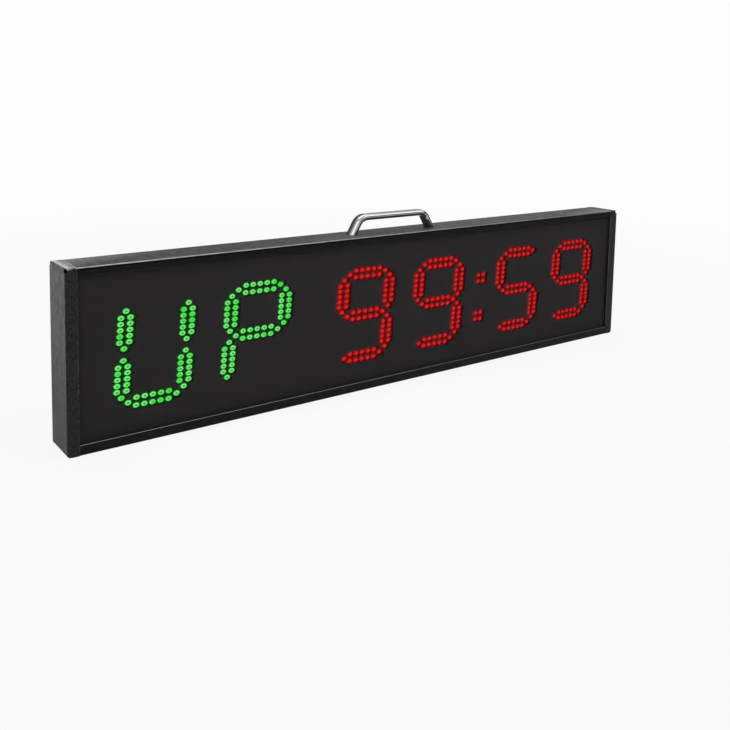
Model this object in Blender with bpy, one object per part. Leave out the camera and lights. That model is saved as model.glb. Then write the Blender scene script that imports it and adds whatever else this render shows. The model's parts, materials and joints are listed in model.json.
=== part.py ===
"""Gym clock: a six-digit LED timer in a slim metal case with a carry handle.

X runs along the case, the display faces -Y and Z is up. The origin is on the surface that the
clock stands on, under the middle of the case. Sizes here are millimetres, and each finished
mesh is scaled to metres.
"""
import math

import bmesh
import bpy
from mathutils import Matrix, Vector

METRES = 0.001
GAP = 0.3

# Overall size of the case
LENGTH = 880.0
DEPTH = 50.0
HEIGHT = 200.0

# End caps: pans of bent sheet that slip over the ends of the case
CAP_SHEET = 0.9
CAP_FLANGE = 13.0
CAP_BEND = 0.7
CAP_BEND_STEPS = 2
CAP_FOOT_BEND = 3.5
CAP_FOOT_STEPS = 4
CAP_NOTCH_DEPTH = 2.6
CAP_NOTCH_HEIGHT = 4.4
CAP_NOTCH_LENGTH = 3.2

# Rails: two extrusions, flush with the caps' flanges and stepped in under them at both ends
RAIL_WALL = 2.4
RIB_WALL = 1.6
RAIL_STEP = CAP_SHEET + GAP
RAIL_STEP_X = LENGTH / 2 - CAP_FLANGE - GAP
RAIL_STEP_REACH = 20.0
RAIL_FRONT = -DEPTH / 2
RAIL_BACK = DEPTH / 2
RAIL_END = LENGTH / 2 - CAP_NOTCH_LENGTH - GAP
SHEET_END = LENGTH / 2 - RAIL_STEP - GAP
TOP_LIP = 9.3
BOTTOM_LIP = 11.4
RIB_TOP = 7.8
SCREW_FLANGE_TOP = 16.0
PANEL_EDGE = RAIL_WALL + GAP

# Front filter: smoked acrylic in the slot behind the lips
FILTER_THICKNESS = 3.0
FILTER_FRONT = RAIL_FRONT + RAIL_WALL + GAP
FILTER_BACK = FILTER_FRONT + FILTER_THICKNESS
SLOT_RIB_FRONT = FILTER_BACK + GAP

# Rear panel: sheet set into the back of the case, screwed to the rails
PANEL_RECESS = 3.8
PANEL_THICKNESS = 1.5
PANEL_BACK = DEPTH / 2 - PANEL_RECESS
PANEL_FRONT = PANEL_BACK - PANEL_THICKNESS
SCREW_FLANGE_BACK = PANEL_FRONT - GAP
SCREW_FLANGE_FRONT = SCREW_FLANGE_BACK - RIB_WALL
PANEL_SCREW_X = (-400.0, 0.0, 400.0)
PANEL_SCREW_EDGE = 10.5

# Screws up through the caps' bottom flanges into the bottom rail
CAP_SCREW_X = LENGTH / 2 - 7.0
CAP_SCREW_Y = 15.0
CAP_SCREW_TIP = 7.0

# Screws
SCREW_RADIUS = 1.4
SCREW_HEAD_RADIUS = 2.7
SCREW_HEAD_HEIGHT = 1.7
SCREW_HOLE_RADIUS = 1.9
SCREW_SIDES = 8

# Lamps: wide ovals, twelve to each of a digit's seven segments
LAMP_HALF_WIDTH = 3.9
LAMP_HALF_HEIGHT = 3.05
LAMP_TIP = -17.9
LAMP_SIDES = 6
LAMP_PITCH_UPRIGHT = 6.7
LAMP_PITCH_FLAT = 9.45
LAMP_END_UPRIGHT = 7.1
LAMP_END_FLAT = 9.3
LAMP_COLUMN_GAP = 10.8
LAMP_ROW_GAP = 8.7
DIGIT_HALF_WIDTH = 36.3
DIGIT_HALF_HEIGHT = 54.0
DIGIT_SLANT = math.tan(math.radians(3.9))
DIGIT_Z = 98.0
DIGIT_X = (-339.5, -212.5, -54.0, 70.0, 224.0, 342.0)
COLON_X = 149.0
COLON_SPACING = 9.8
COLON_Z_OFFSETS = (24.0, -30.5)

# Lamp boards slide into slots in the rails; each digit's lamps show through the face of a housing
BOARD_THICKNESS = 1.6
BOARD_FRONT = -9.0
BOARD_BACK = BOARD_FRONT + BOARD_THICKNESS
BOARD_SPANS = {"left": (-402.0, -140.0), "middle": (-139.0, 165.0), "right": (166.0, 402.0)}
HOLDER_FRONT = -16.0
HOLDER_WALL = 1.2
HOLDER_HALF_WIDTH = 51.0
HOLDER_HALF_HEIGHT = 64.0
COLON_HOLDER_HALF_WIDTH = 12.5
CHIP_SIZE = (18.0, 8.0, 2.2)
CHIP_X = {"left": -276.0, "middle": 20.0, "right": 290.0}
PLUG_HALF_LENGTH = 3.0
PLUG_HEIGHT = 6.0
RIBBON_WIDTH = 20.0
RIBBON_THICKNESS = 1.0
RIBBON_STEPS = 8
RIBBON_RISE = 7.0
RIBBON_LEFT_X = (-160.0, -118.0)
RIBBON_MIDDLE_X = (140.0, 190.0)
RIBBON_CONTROL_X = (212.0, 256.0)

# Controller board, behind the right-hand lamp board
CONTROL_X = (246.0, 330.0)
CONTROL_Z = (34.0, 118.0)
CONTROL_FRONT = 12.1
CONTROL_BACK = CONTROL_FRONT + BOARD_THICKNESS
TRAY_SHEET = 1.5
TRAY_WALL = 7.0
TRAY_BORE_DEPTH = 3.5
CONTROL_SCREW_INSET = 3.5
CONTROL_SCREW_HOLE = 1.95

# Power jack and rocker switch, through the rear panel
JACK_X = 386.0
JACK_Z = 62.0
JACK_THREAD_RADIUS = 5.4
JACK_BODY_RADIUS = 7.0
JACK_BORE_RADIUS = 3.1
JACK_PIN_RADIUS = 1.05
JACK_MOUTH = 24.2
JACK_BACK = 7.5
JACK_SIDES = 12
NUT_SIDES = 6
SWITCH_X = 352.0
SWITCH_Z = 62.0
SWITCH_TILT = math.radians(11.0)
BEZEL_HALF = (7.5, 10.5)
HOUSING_HALF = (6.6, 9.6)
POCKET_HALF = (4.8, 7.6)
HOUSING_BACK = 8.0
BEZEL_FRONT = PANEL_BACK + GAP
BEZEL_BACK = BEZEL_FRONT + 1.1
PIVOT_Y = 20.2
POCKET_FLOOR = 13.0
ROCKER_HALF_WIDTH = 4.4
ROCKER_RADIUS = 7.15
ROCKER_END_ANGLE = math.radians(29.8)
ROCKER_LOW_ANGLE = math.radians(-22.0)
ROCKER_VALLEY = 2.35
STUB_RADIUS = 1.1
STUB_REACH = 5.7
STUB_HOLE_RADIUS = 1.5
STUB_HOLE_REACH = 6.1
BLADE_OFFSET = 5.0
BLADE_TIP = 1.5
LEAD_RADIUS = 0.9
LEAD_STEPS = 3

# Hanger plates: raised keyholes on the rear panel
HANGER_X = 300.0
HANGER_Z = 150.0
HANGER_HALF_WIDTH = 15.0
HANGER_HALF_HEIGHT = 30.0
HANGER_WEB_HALF = 18.0
HANGER_SHEET = 1.2
HANGER_RAISE = 2.2
HANGER_RIVET_Z = 24.5
HANGER_RIVET_RADIUS = 1.4
HANGER_RIVET_HEAD = 2.6
KEYHOLE_RADIUS = 4.6
KEYHOLE_SLOT_HALF = 2.5
KEYHOLE_RUN = 12.0
KEYHOLE_DROP = -6.0

# Carry handle: a crowned flat bar bent into an arch
HANDLE_TOP = 226.0
HANDLE_THICKNESS = 8.0
HANDLE_SIDE = ((6.0, 0.0), (8.0, 3.8), (7.8, 5.2), (7.0, 6.6), (4.0, 7.7))
HANDLE_INNER_HALF = 44.0
HANDLE_INNER_RADIUS = 12.0
HANDLE_BEND = math.radians(60.0)
HANDLE_BEND_STEPS = 6
HANDLE_SCREW_X = 64.6
HANDLE_SCREW_RADIUS = 1.25
HANDLE_BORE_RADIUS = 1.6
HANDLE_BORE_DEPTH = 4.6

BLACK_COAT = ((0.03, 0.03, 0.032), 0.45, 0.0)
STEEL = ((0.55, 0.55, 0.56), 0.3, 1.0)
DARK_STEEL = ((0.06, 0.06, 0.065), 0.35, 1.0)
CHROME = ((0.42, 0.42, 0.43), 0.18, 1.0)
BLACK_PLASTIC = ((0.02, 0.02, 0.02), 0.4, 0.0)
BOARD_MASK = ((0.012, 0.02, 0.016), 0.5, 0.0)
SMOKED_ACRYLIC = ((0.02, 0.018, 0.019), 0.08, 0.0)


def place(axis, u, v, level):
    """Puts an outline's (u, v) at a level along the axis."""
    if axis == "X":
        return Vector((level, u, v))
    if axis == "Y":
        return Vector((u, level, v))
    return Vector((u, v, level))


def polygon(radius, sides, centre=(0.0, 0.0)):
    """The corners of a regular polygon, starting half a step round so that flats face the axes."""
    step = 2 * math.pi / sides
    return [(centre[0] + radius * math.cos(step * (index + 0.5)),
             centre[1] + radius * math.sin(step * (index + 0.5))) for index in range(sides)]


def rectangle(low_u, high_u, low_v, high_v):
    return [(low_u, low_v), (high_u, low_v), (high_u, high_v), (low_u, high_v)]


UNIT_SQUARE = rectangle(-1.0, 1.0, -1.0, 1.0)


def stack(bm, outline, stations, axis, centre):
    """Grows one closed body by extruding its end face from station to station.

    Each station is (width, height, level): the outline's scale and its place on the axis.
    """
    middle = place(axis, centre[0], centre[1], 0.0)
    wide, tall, level = stations[0]
    corners = [middle + place(axis, wide * u, tall * v, level) for u, v in outline]
    face = bm.faces.new([bm.verts.new(corner) for corner in corners])
    for number, (next_wide, next_tall, next_level) in enumerate(stations[1:]):
        grown = bmesh.ops.extrude_face_region(bm, geom=[face])["geom"]
        if number > 0:
            bmesh.ops.delete(bm, geom=[face], context="FACES_ONLY")
        face = next(item for item in grown if isinstance(item, bmesh.types.BMFace))
        ratio = place(axis, next_wide / wide, next_tall / tall, 1.0)
        rise = place(axis, 0.0, 0.0, next_level - level)
        for vert in face.verts:
            offset = vert.co - middle
            vert.co = middle + offset * ratio + rise
        wide, tall, level = next_wide, next_tall, next_level


def turned(bm, profile, sides, axis, centre):
    """A turned body from (radius, level) stations."""
    stack(bm, polygon(1.0, sides), [(radius, radius, level) for radius, level in profile], axis, centre)


def prism(bm, outline, axis, low, high):
    stack(bm, outline, [(1.0, 1.0, low), (1.0, 1.0, high)], axis, (0.0, 0.0))


def box(bm, span_x, span_y, span_z):
    prism(bm, rectangle(span_x[0], span_x[1], span_y[0], span_y[1]), "Z", span_z[0], span_z[1])


def ring(bm, outer, inner, axis, low, high):
    """A flat ring between two outlines with the same number of corners."""
    edges = []
    for outline in (outer, inner):
        loop = [bm.verts.new(place(axis, u, v, low)) for u, v in outline]
        edges += [bm.edges.new((loop[index - 1], loop[index])) for index in range(len(loop))]
    faces = bmesh.ops.bridge_loops(bm, edges=edges)["faces"]
    grown = bmesh.ops.extrude_face_region(bm, geom=faces)["geom"]
    moved = [item for item in grown if isinstance(item, bmesh.types.BMVert)]
    bmesh.ops.translate(bm, verts=moved, vec=place(axis, 0.0, 0.0, high - low))


def principled(name, colour, roughness, metallic):
    material = bpy.data.materials.new(name)
    material.use_nodes = True
    shader = material.node_tree.nodes["Principled BSDF"]
    shader.inputs["Base Color"].default_value = (*colour, 1.0)
    shader.inputs["Roughness"].default_value = roughness
    shader.inputs["Metallic"].default_value = metallic
    return material


def make_object(name, bm):
    """Turns the millimetre bmesh into an object in metres."""
    bmesh.ops.recalc_face_normals(bm, faces=bm.faces[:])
    bmesh.ops.transform(bm, matrix=Matrix.Scale(METRES, 4), verts=bm.verts[:])
    mesh = bpy.data.meshes.new(name)
    bm.to_mesh(mesh)
    bm.free()
    item = bpy.data.objects.new(name, mesh)
    bpy.context.scene.collection.objects.link(item)
    return item


def make_part(name, bm, look):
    part = make_object(name, bm)
    part.data.materials.append(principled(name, *look))
    part.data.shade_smooth()
    part.data.set_sharp_from_angle(angle=math.radians(35.0))
    return part


def shape_with(part, operation, bm):
    """Cuts the part with the bmesh's bodies, or joins them to it."""
    tool = make_object("%s_tool_%d" % (part.name, len(part.modifiers) + 1), bm)
    tool.hide_render = True
    tool.display_type = "WIRE"
    modifier = part.modifiers.new(operation.title(), "BOOLEAN")
    modifier.operation = operation
    modifier.solver = "EXACT"
    modifier.object = tool
    return tool


def mirrored_heights(from_edge):
    """A height above the base and the matching one below the top."""
    return from_edge, HEIGHT - from_edge


def upside_down(outline):
    """The outline's mirror image about half the case's height."""
    return [(y, HEIGHT - z) for y, z in outline]


# Case

def rail_outline(lip, is_top):
    """The rail's section as (y, z): outer wall, screw flange, slots for boards and filter, front lip."""
    section = [
        (RAIL_FRONT, 0.0),
        (RAIL_BACK, 0.0),
        (RAIL_BACK, RAIL_WALL),
        (SCREW_FLANGE_BACK, RAIL_WALL),
        (SCREW_FLANGE_BACK, SCREW_FLANGE_TOP),
        (SCREW_FLANGE_FRONT, SCREW_FLANGE_TOP),
        (SCREW_FLANGE_FRONT, RAIL_WALL),
    ]
    for rib_front in (BOARD_BACK + GAP, BOARD_FRONT - GAP - RIB_WALL, SLOT_RIB_FRONT):
        rib_back = rib_front + RIB_WALL
        section += [(rib_back, RAIL_WALL), (rib_back, RIB_TOP), (rib_front, RIB_TOP), (rib_front, RAIL_WALL)]
    section += [(FILTER_FRONT - GAP, RAIL_WALL), (FILTER_FRONT - GAP, lip), (RAIL_FRONT, lip)]
    return upside_down(section) if is_top else section


def rail_step_outline(is_top):
    """What each end of a rail loses all round, as (y, z), to fit inside a cap's flanges."""
    outside = DEPTH / 2 + 1.0
    inside = DEPTH / 2 - RAIL_STEP
    outline = [(-outside, -1.0), (outside, -1.0), (outside, RAIL_STEP_REACH), (inside, RAIL_STEP_REACH),
               (inside, RAIL_STEP), (-inside, RAIL_STEP), (-inside, RAIL_STEP_REACH), (-outside, RAIL_STEP_REACH)]
    return upside_down(outline) if is_top else outline


def make_rail(name, lip, is_top):
    bm = bmesh.new()
    prism(bm, rail_outline(lip, is_top), "X", -RAIL_END, RAIL_END)
    rail = make_part(name, bm, BLACK_COAT)
    steps = bmesh.new()
    for side in (-1, 1):
        prism(steps, rail_step_outline(is_top), "X", *sorted((side * RAIL_STEP_X, side * LENGTH / 2)))
    shape_with(rail, "DIFFERENCE", steps)
    holes = bmesh.new()
    screw_z = mirrored_heights(PANEL_SCREW_EDGE)[is_top]
    flange = [(SCREW_HOLE_RADIUS, level) for level in (SCREW_FLANGE_FRONT - 1.0, SCREW_FLANGE_BACK + 1.0)]
    for x in PANEL_SCREW_X:
        turned(holes, flange, SCREW_SIDES, "Y", (x, screw_z))
    if is_top:
        wall = [(HANDLE_BORE_RADIUS, level) for level in (HEIGHT - RAIL_WALL - 1.0, HEIGHT + 1.0)]
        for side in (-1, 1):
            turned(holes, wall, SCREW_SIDES, "Z", (side * HANDLE_SCREW_X, 0.0))
    else:
        for side in (-1, 1):
            cap_screw_holes(holes, side)
    shape_with(rail, "DIFFERENCE", holes)


def cap_screw_holes(bm, side):
    """Countersunk holes up through a cap's bottom flange and the bottom rail."""
    profile = [(3.1, -0.2), (1.75, 1.55), (1.75, CAP_SCREW_TIP)]
    for y in (-CAP_SCREW_Y, CAP_SCREW_Y):
        turned(bm, profile, SCREW_SIDES, "Z", (side * CAP_SCREW_X, y))


def bend_foot(bm, radius):
    """Rounds the block's lowest edge at the end of the case."""
    end = max(abs(vert.co.x) for vert in bm.verts)
    foot = min(vert.co.z for vert in bm.verts)
    lowest = [edge for edge in bm.edges
              if all(abs(vert.co.x) > end - 0.01 and vert.co.z < foot + 0.01 for vert in edge.verts)]
    bmesh.ops.bevel(bm, geom=lowest, offset=radius, segments=CAP_FOOT_STEPS, profile=0.5,
                    affect="EDGES", material=-1)


def is_end_edge(edge):
    """Whether the edge runs down a side of the end plate or over its top."""
    on_end = all(abs(vert.co.x) > LENGTH / 2 - CAP_FOOT_BEND - 0.01 for vert in edge.verts)
    at_top = min(vert.co.z for vert in edge.verts) > HEIGHT - 0.01
    across = abs(edge.verts[0].co.y - edge.verts[1].co.y) > 1.0
    return on_end and (at_top or not across)


def make_end_cap(name, side):
    outer = bmesh.new()
    reach = sorted((side * LENGTH / 2, side * (LENGTH / 2 - CAP_FLANGE)))
    box(outer, reach, (-DEPTH / 2, DEPTH / 2), (0.0, HEIGHT))
    bend_foot(outer, CAP_FOOT_BEND)
    bmesh.ops.bevel(outer, geom=[edge for edge in outer.edges if is_end_edge(edge)], offset=CAP_BEND,
                    segments=CAP_BEND_STEPS, profile=0.5, affect="EDGES", material=-1)
    cap = make_part(name, outer, BLACK_COAT)
    hollow = bmesh.new()
    plate_inside = LENGTH / 2 - CAP_SHEET
    box(hollow, sorted((side * plate_inside, side * (LENGTH / 2 - CAP_FLANGE - 2.0))),
        (CAP_SHEET - DEPTH / 2, DEPTH / 2 - CAP_SHEET), (CAP_SHEET, HEIGHT - CAP_SHEET))
    bend_foot(hollow, CAP_FOOT_BEND - CAP_SHEET)
    shape_with(cap, "DIFFERENCE", hollow)
    cuts = bmesh.new()
    for y_side in (-1, 1):
        box(cuts, sorted((side * (LENGTH / 2 + 1.0), side * (LENGTH / 2 - CAP_NOTCH_LENGTH))),
            sorted((y_side * (DEPTH / 2 + 1.0), y_side * (DEPTH / 2 - CAP_NOTCH_DEPTH))),
            (HEIGHT - CAP_NOTCH_HEIGHT, HEIGHT + 1.0))
    cap_screw_holes(cuts, side)
    shape_with(cap, "DIFFERENCE", cuts)


def make_end_cap_screws():
    corners = [(side_x * CAP_SCREW_X, side_y * CAP_SCREW_Y) for side_x in (-1, 1) for side_y in (-1, 1)]
    for number, centre in enumerate(corners, start=1):
        bm = bmesh.new()
        turned(bm, [(SCREW_HEAD_RADIUS, 0.1), (SCREW_RADIUS, 1.4), (SCREW_RADIUS, CAP_SCREW_TIP - 0.5)],
               SCREW_SIDES, "Z", centre)
        make_part("end_cap_screw_%d" % number, bm, DARK_STEEL)


def make_front_filter():
    bm = bmesh.new()
    box(bm, (-SHEET_END, SHEET_END), (FILTER_FRONT, FILTER_BACK), (PANEL_EDGE, HEIGHT - PANEL_EDGE))
    make_part("front_filter", bm, SMOKED_ACRYLIC)


def make_rear_panel():
    bm = bmesh.new()
    box(bm, (-SHEET_END, SHEET_END), (PANEL_FRONT, PANEL_BACK), (PANEL_EDGE, HEIGHT - PANEL_EDGE))
    panel = make_part("rear_panel", bm, BLACK_COAT)
    holes = bmesh.new()
    through = (PANEL_FRONT - 1.0, PANEL_BACK + 1.0)
    for x in PANEL_SCREW_X:
        for z in mirrored_heights(PANEL_SCREW_EDGE):
            turned(holes, [(SCREW_HOLE_RADIUS, level) for level in through], SCREW_SIDES, "Y", (x, z))
    for side in (-1, 1):
        for offset in (-HANGER_RIVET_Z, HANGER_RIVET_Z):
            turned(holes, [(SCREW_HOLE_RADIUS, level) for level in through], SCREW_SIDES, "Y",
                   (side * HANGER_X, HANGER_Z + offset))
    turned(holes, [(JACK_THREAD_RADIUS + 0.5, level) for level in through], JACK_SIDES, "Y", (JACK_X, JACK_Z))
    switch_cut = (HOUSING_HALF[0] + GAP, HOUSING_HALF[1] + GAP)
    stack(holes, UNIT_SQUARE, [(*switch_cut, level) for level in through], "Y", (SWITCH_X, SWITCH_Z))
    shape_with(panel, "DIFFERENCE", holes)


def pan_screw(bm, seat, tip, axis, centre, radius=SCREW_RADIUS):
    """A pan-head screw: its head stands on the seat, away from its tip."""
    outwards = math.copysign(SCREW_HEAD_HEIGHT, seat - tip)
    profile = [(SCREW_HEAD_RADIUS * 0.8, seat + outwards), (SCREW_HEAD_RADIUS, seat + outwards * 0.6),
               (SCREW_HEAD_RADIUS, seat), (radius, seat), (radius, tip)]
    turned(bm, profile, SCREW_SIDES, axis, centre)


def make_rear_panel_screws():
    places = [(x, z) for x in PANEL_SCREW_X for z in mirrored_heights(PANEL_SCREW_EDGE)]
    for number, centre in enumerate(places, start=1):
        bm = bmesh.new()
        pan_screw(bm, PANEL_BACK + GAP, SCREW_FLANGE_FRONT - 3.0, "Y", centre)
        make_part("rear_panel_screw_%d" % number, bm, DARK_STEEL)


# Hanger plates

def keyhole_outline(x, z):
    """A round entry with a narrower slot that runs up from it."""
    entry = (x, z + KEYHOLE_DROP)
    half_mouth = math.asin(KEYHOLE_SLOT_HALF / KEYHOLE_RADIUS)
    outline = []
    entry_steps = 12
    sweep = 2 * math.pi - 2 * half_mouth
    for index in range(entry_steps + 1):
        angle = math.pi / 2 + half_mouth + sweep * index / entry_steps
        outline.append((entry[0] + KEYHOLE_RADIUS * math.cos(angle),
                        entry[1] + KEYHOLE_RADIUS * math.sin(angle)))
    slot_steps = 6
    for index in range(slot_steps + 1):
        angle = math.pi * index / slot_steps
        outline.append((entry[0] + KEYHOLE_SLOT_HALF * math.cos(angle),
                        entry[1] + KEYHOLE_RUN + KEYHOLE_SLOT_HALF * math.sin(angle)))
    return outline


def make_hanger_plate(name, side):
    """A hat-shaped plate, riveted to the panel by its two feet, with the keyhole in its raised web."""
    foot = PANEL_BACK + GAP
    web = foot + HANGER_RAISE
    step = HANGER_WEB_HALF + HANGER_SHEET
    half = [(foot, HANGER_HALF_HEIGHT), (foot, HANGER_WEB_HALF), (web, HANGER_WEB_HALF)]
    outer_half = [(web + HANGER_SHEET, step), (foot + HANGER_SHEET, step),
                  (foot + HANGER_SHEET, HANGER_HALF_HEIGHT)]
    upper = half + [(y, -z) for y, z in half[::-1]]
    lower = [(y, -z) for y, z in outer_half[::-1]] + outer_half
    outline = [(y, HANGER_Z + z) for y, z in upper + lower]
    bm = bmesh.new()
    x = side * HANGER_X
    prism(bm, outline, "X", x - HANGER_HALF_WIDTH, x + HANGER_HALF_WIDTH)
    plate = make_part(name, bm, STEEL)
    keyhole = bmesh.new()
    prism(keyhole, keyhole_outline(x, HANGER_Z), "Y", web - 1.0, DEPTH / 2 + 1.0)
    shape_with(plate, "DIFFERENCE", keyhole)
    rivets = bmesh.new()
    clinch = PANEL_FRONT - GAP
    for offset in (-HANGER_RIVET_Z, HANGER_RIVET_Z):
        turned(rivets, [(HANGER_RIVET_RADIUS, foot + HANGER_SHEET / 2), (HANGER_RIVET_RADIUS, clinch),
                        (HANGER_RIVET_HEAD, clinch), (HANGER_RIVET_HEAD, clinch - 1.0)],
               SCREW_SIDES, "Y", (x, HANGER_Z + offset))
    shape_with(plate, "UNION", rivets)


# Carry handle

def handle_path():
    """The handle's underside from left foot to right foot, as (x, z, angle of the way along it)."""
    underside = HANDLE_TOP - HANDLE_THICKNESS
    base = HEIGHT + GAP
    bend_drop = HANDLE_INNER_RADIUS * (1 - math.cos(HANDLE_BEND))
    leg_drop = underside - bend_drop - base
    bend_run = HANDLE_INNER_RADIUS * math.sin(HANDLE_BEND)
    foot_x = HANDLE_INNER_HALF + bend_run + leg_drop / math.tan(HANDLE_BEND)
    right = [(HANDLE_INNER_HALF + HANDLE_INNER_RADIUS * math.sin(HANDLE_BEND * step / HANDLE_BEND_STEPS),
              underside - HANDLE_INNER_RADIUS * (1 - math.cos(HANDLE_BEND * step / HANDLE_BEND_STEPS)),
              -HANDLE_BEND * step / HANDLE_BEND_STEPS) for step in range(HANDLE_BEND_STEPS + 1)]
    right.append((foot_x, base, -HANDLE_BEND))
    left = [(-x, z, -angle) for x, z, angle in reversed(right)]
    return left + right


def handle_section():
    """The bar's section as (y, height over its underside): crowned, and undercut to a flat below."""
    other_side = [(-y, height) for y, height in reversed(HANDLE_SIDE)]
    return [*HANDLE_SIDE, (0.0, HANDLE_THICKNESS), *other_side]


def make_carry_handle():
    bm = bmesh.new()
    base = HEIGHT + GAP
    path = handle_path()
    loops = []
    for index, (x, z, angle) in enumerate(path):
        along = Vector((math.cos(angle), 0.0, math.sin(angle)))
        outwards = Vector((-math.sin(angle), 0.0, math.cos(angle)))
        loop = []
        for y, height in handle_section():
            point = Vector((x, y, z)) + outwards * height
            if index in (0, len(path) - 1):
                point -= along * ((point.z - base) / along.z)
            loop.append(bm.verts.new(point))
        loops.append(loop)
    for loop in (loops[0], loops[-1]):
        bm.faces.new(loop)
    for near, far in zip(loops, loops[1:]):
        for index in range(len(near)):
            bm.faces.new((near[index - 1], near[index], far[index], far[index - 1]))
    handle = make_part("carry_handle", bm, CHROME)
    bores = bmesh.new()
    for side in (-1, 1):
        turned(bores, [(HANDLE_BORE_RADIUS, base - 1.0), (HANDLE_BORE_RADIUS, base + HANDLE_BORE_DEPTH)],
               SCREW_SIDES, "Z", (side * HANDLE_SCREW_X, 0.0))
    shape_with(handle, "DIFFERENCE", bores)


def make_handle_screws():
    seat = HEIGHT - RAIL_WALL - GAP
    tip = HEIGHT + GAP + HANDLE_BORE_DEPTH - 0.6
    for name, side in (("left", -1), ("right", 1)):
        bm = bmesh.new()
        pan_screw(bm, seat, tip, "Z", (side * HANDLE_SCREW_X, 0.0), radius=HANDLE_SCREW_RADIUS)
        make_part("handle_screw_" + name, bm, DARK_STEEL)


# Lamps and their boards

def segment_lamps(segment):
    """A segment's twelve lamps about the digit's centre: two rows of five and one at each end."""
    lamps = []
    if segment in "ADG":
        row = {"A": DIGIT_HALF_HEIGHT, "G": 0.0, "D": -DIGIT_HALF_HEIGHT}[segment]
        for step in range(-2, 3):
            lamps += [(step * LAMP_PITCH_FLAT, row + side * LAMP_ROW_GAP / 2) for side in (-1, 1)]
        reach = 2 * LAMP_PITCH_FLAT + LAMP_END_FLAT
        return lamps + [(-reach, row), (reach, row)]
    column = DIGIT_HALF_WIDTH if segment in "BC" else -DIGIT_HALF_WIDTH
    middle = DIGIT_HALF_HEIGHT / 2 if segment in "BF" else -DIGIT_HALF_HEIGHT / 2
    for step in range(-2, 3):
        height = middle + step * LAMP_PITCH_UPRIGHT
        lamps += [(column + side * LAMP_COLUMN_GAP / 2, height) for side in (-1, 1)]
    reach = 2 * LAMP_PITCH_UPRIGHT + LAMP_END_UPRIGHT
    return lamps + [(column, middle - reach), (column, middle + reach)]


def slanted(x, z, centre_x):
    return centre_x + x + DIGIT_SLANT * z, DIGIT_Z + z


def make_lamp_set(name, centres, middle_x, half_width):
    """A housing on the lamp board, open to the board, with the lamps standing out of its face."""
    holder_back = BOARD_FRONT - GAP
    half = (half_width, HOLDER_HALF_HEIGHT)
    shell = bmesh.new()
    stack(shell, UNIT_SQUARE, [(*half, HOLDER_FRONT), (*half, holder_back)], "Y", (middle_x, DIGIT_Z))
    holder = make_part(name, shell, BLACK_PLASTIC)
    inside = [side - HOLDER_WALL for side in half]
    pocket = bmesh.new()
    stack(pocket, UNIT_SQUARE, [(*inside, HOLDER_FRONT + HOLDER_WALL), (*inside, holder_back + 1.0)], "Y",
          (middle_x, DIGIT_Z))
    shape_with(holder, "DIFFERENCE", pocket)
    lamps = bmesh.new()
    oval = (LAMP_HALF_WIDTH, LAMP_HALF_HEIGHT)
    stations = [(*oval, HOLDER_FRONT + HOLDER_WALL / 2), (*oval, LAMP_TIP)]
    for centre in centres:
        stack(lamps, polygon(1.0, LAMP_SIDES), stations, "Y", centre)
    shape_with(holder, "UNION", lamps)


def make_lamps():
    for number, digit_x in enumerate(DIGIT_X, start=1):
        centres = [slanted(x, z, digit_x) for segment in "ABCDEFG" for x, z in segment_lamps(segment)]
        make_lamp_set("lamps_digit_%d" % number, centres, digit_x, HOLDER_HALF_WIDTH)
    centres = [slanted(x_side * COLON_SPACING / 2, offset + z_side * LAMP_ROW_GAP / 2, COLON_X)
               for offset in COLON_Z_OFFSETS for x_side in (-1, 1) for z_side in (-1, 1)]
    make_lamp_set("lamps_colon", centres, COLON_X, COLON_HOLDER_HALF_WIDTH)


def make_lamp_boards():
    """Boards held by their top and bottom edges, each with one driver chip on its back."""
    wide, tall, thick = CHIP_SIZE
    low = BOARD_BACK + GAP
    for side, span in BOARD_SPANS.items():
        board = bmesh.new()
        box(board, span, (BOARD_FRONT, BOARD_BACK), (PANEL_EDGE, HEIGHT - PANEL_EDGE))
        make_part("lamp_board_" + side, board, BOARD_MASK)
        chip = bmesh.new()
        box(chip, (CHIP_X[side] - wide / 2, CHIP_X[side] + wide / 2), (low, low + thick),
            (DIGIT_Z - tall / 2, DIGIT_Z + tall / 2))
        make_part("driver_chip_" + side, chip, BLACK_PLASTIC)


def make_infrared_receiver():
    """A moulded block with a domed lens, on the middle board to the left of the first red digit."""
    bm = bmesh.new()
    base = BOARD_FRONT - GAP
    turned(bm, [(3.4, base), (3.4, base - 4.0), (2.4, base - 4.0), (1.8, base - 5.6), (0.8, base - 6.2)],
           SCREW_SIDES, "Y", (BOARD_SPANS["middle"][0] + 7.0, DIGIT_Z))
    make_part("infrared_receiver", bm, BLACK_PLASTIC)


def arched_ribbon(low_x, high_x):
    """A ribbon cable's side view in (x, y): two plugs on the boards and an arch between them."""
    floor = BOARD_BACK + GAP
    top = floor + PLUG_HEIGHT
    outer = []
    inner = []
    for step in range(RIBBON_STEPS + 1):
        share = step / RIBBON_STEPS
        rise = RIBBON_RISE * math.sin(math.pi * share)
        outer.append((low_x - PLUG_HALF_LENGTH + (high_x - low_x + 2 * PLUG_HALF_LENGTH) * share,
                      top + RIBBON_THICKNESS + rise))
        inner.append((low_x + PLUG_HALF_LENGTH + (high_x - low_x - 2 * PLUG_HALF_LENGTH) * share, top + rise))
    left_foot = [(low_x + PLUG_HALF_LENGTH, floor), (low_x - PLUG_HALF_LENGTH, floor)]
    right_foot = [(high_x + PLUG_HALF_LENGTH, floor), (high_x - PLUG_HALF_LENGTH, floor)]
    return left_foot + outer + right_foot + inner[::-1]


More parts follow.
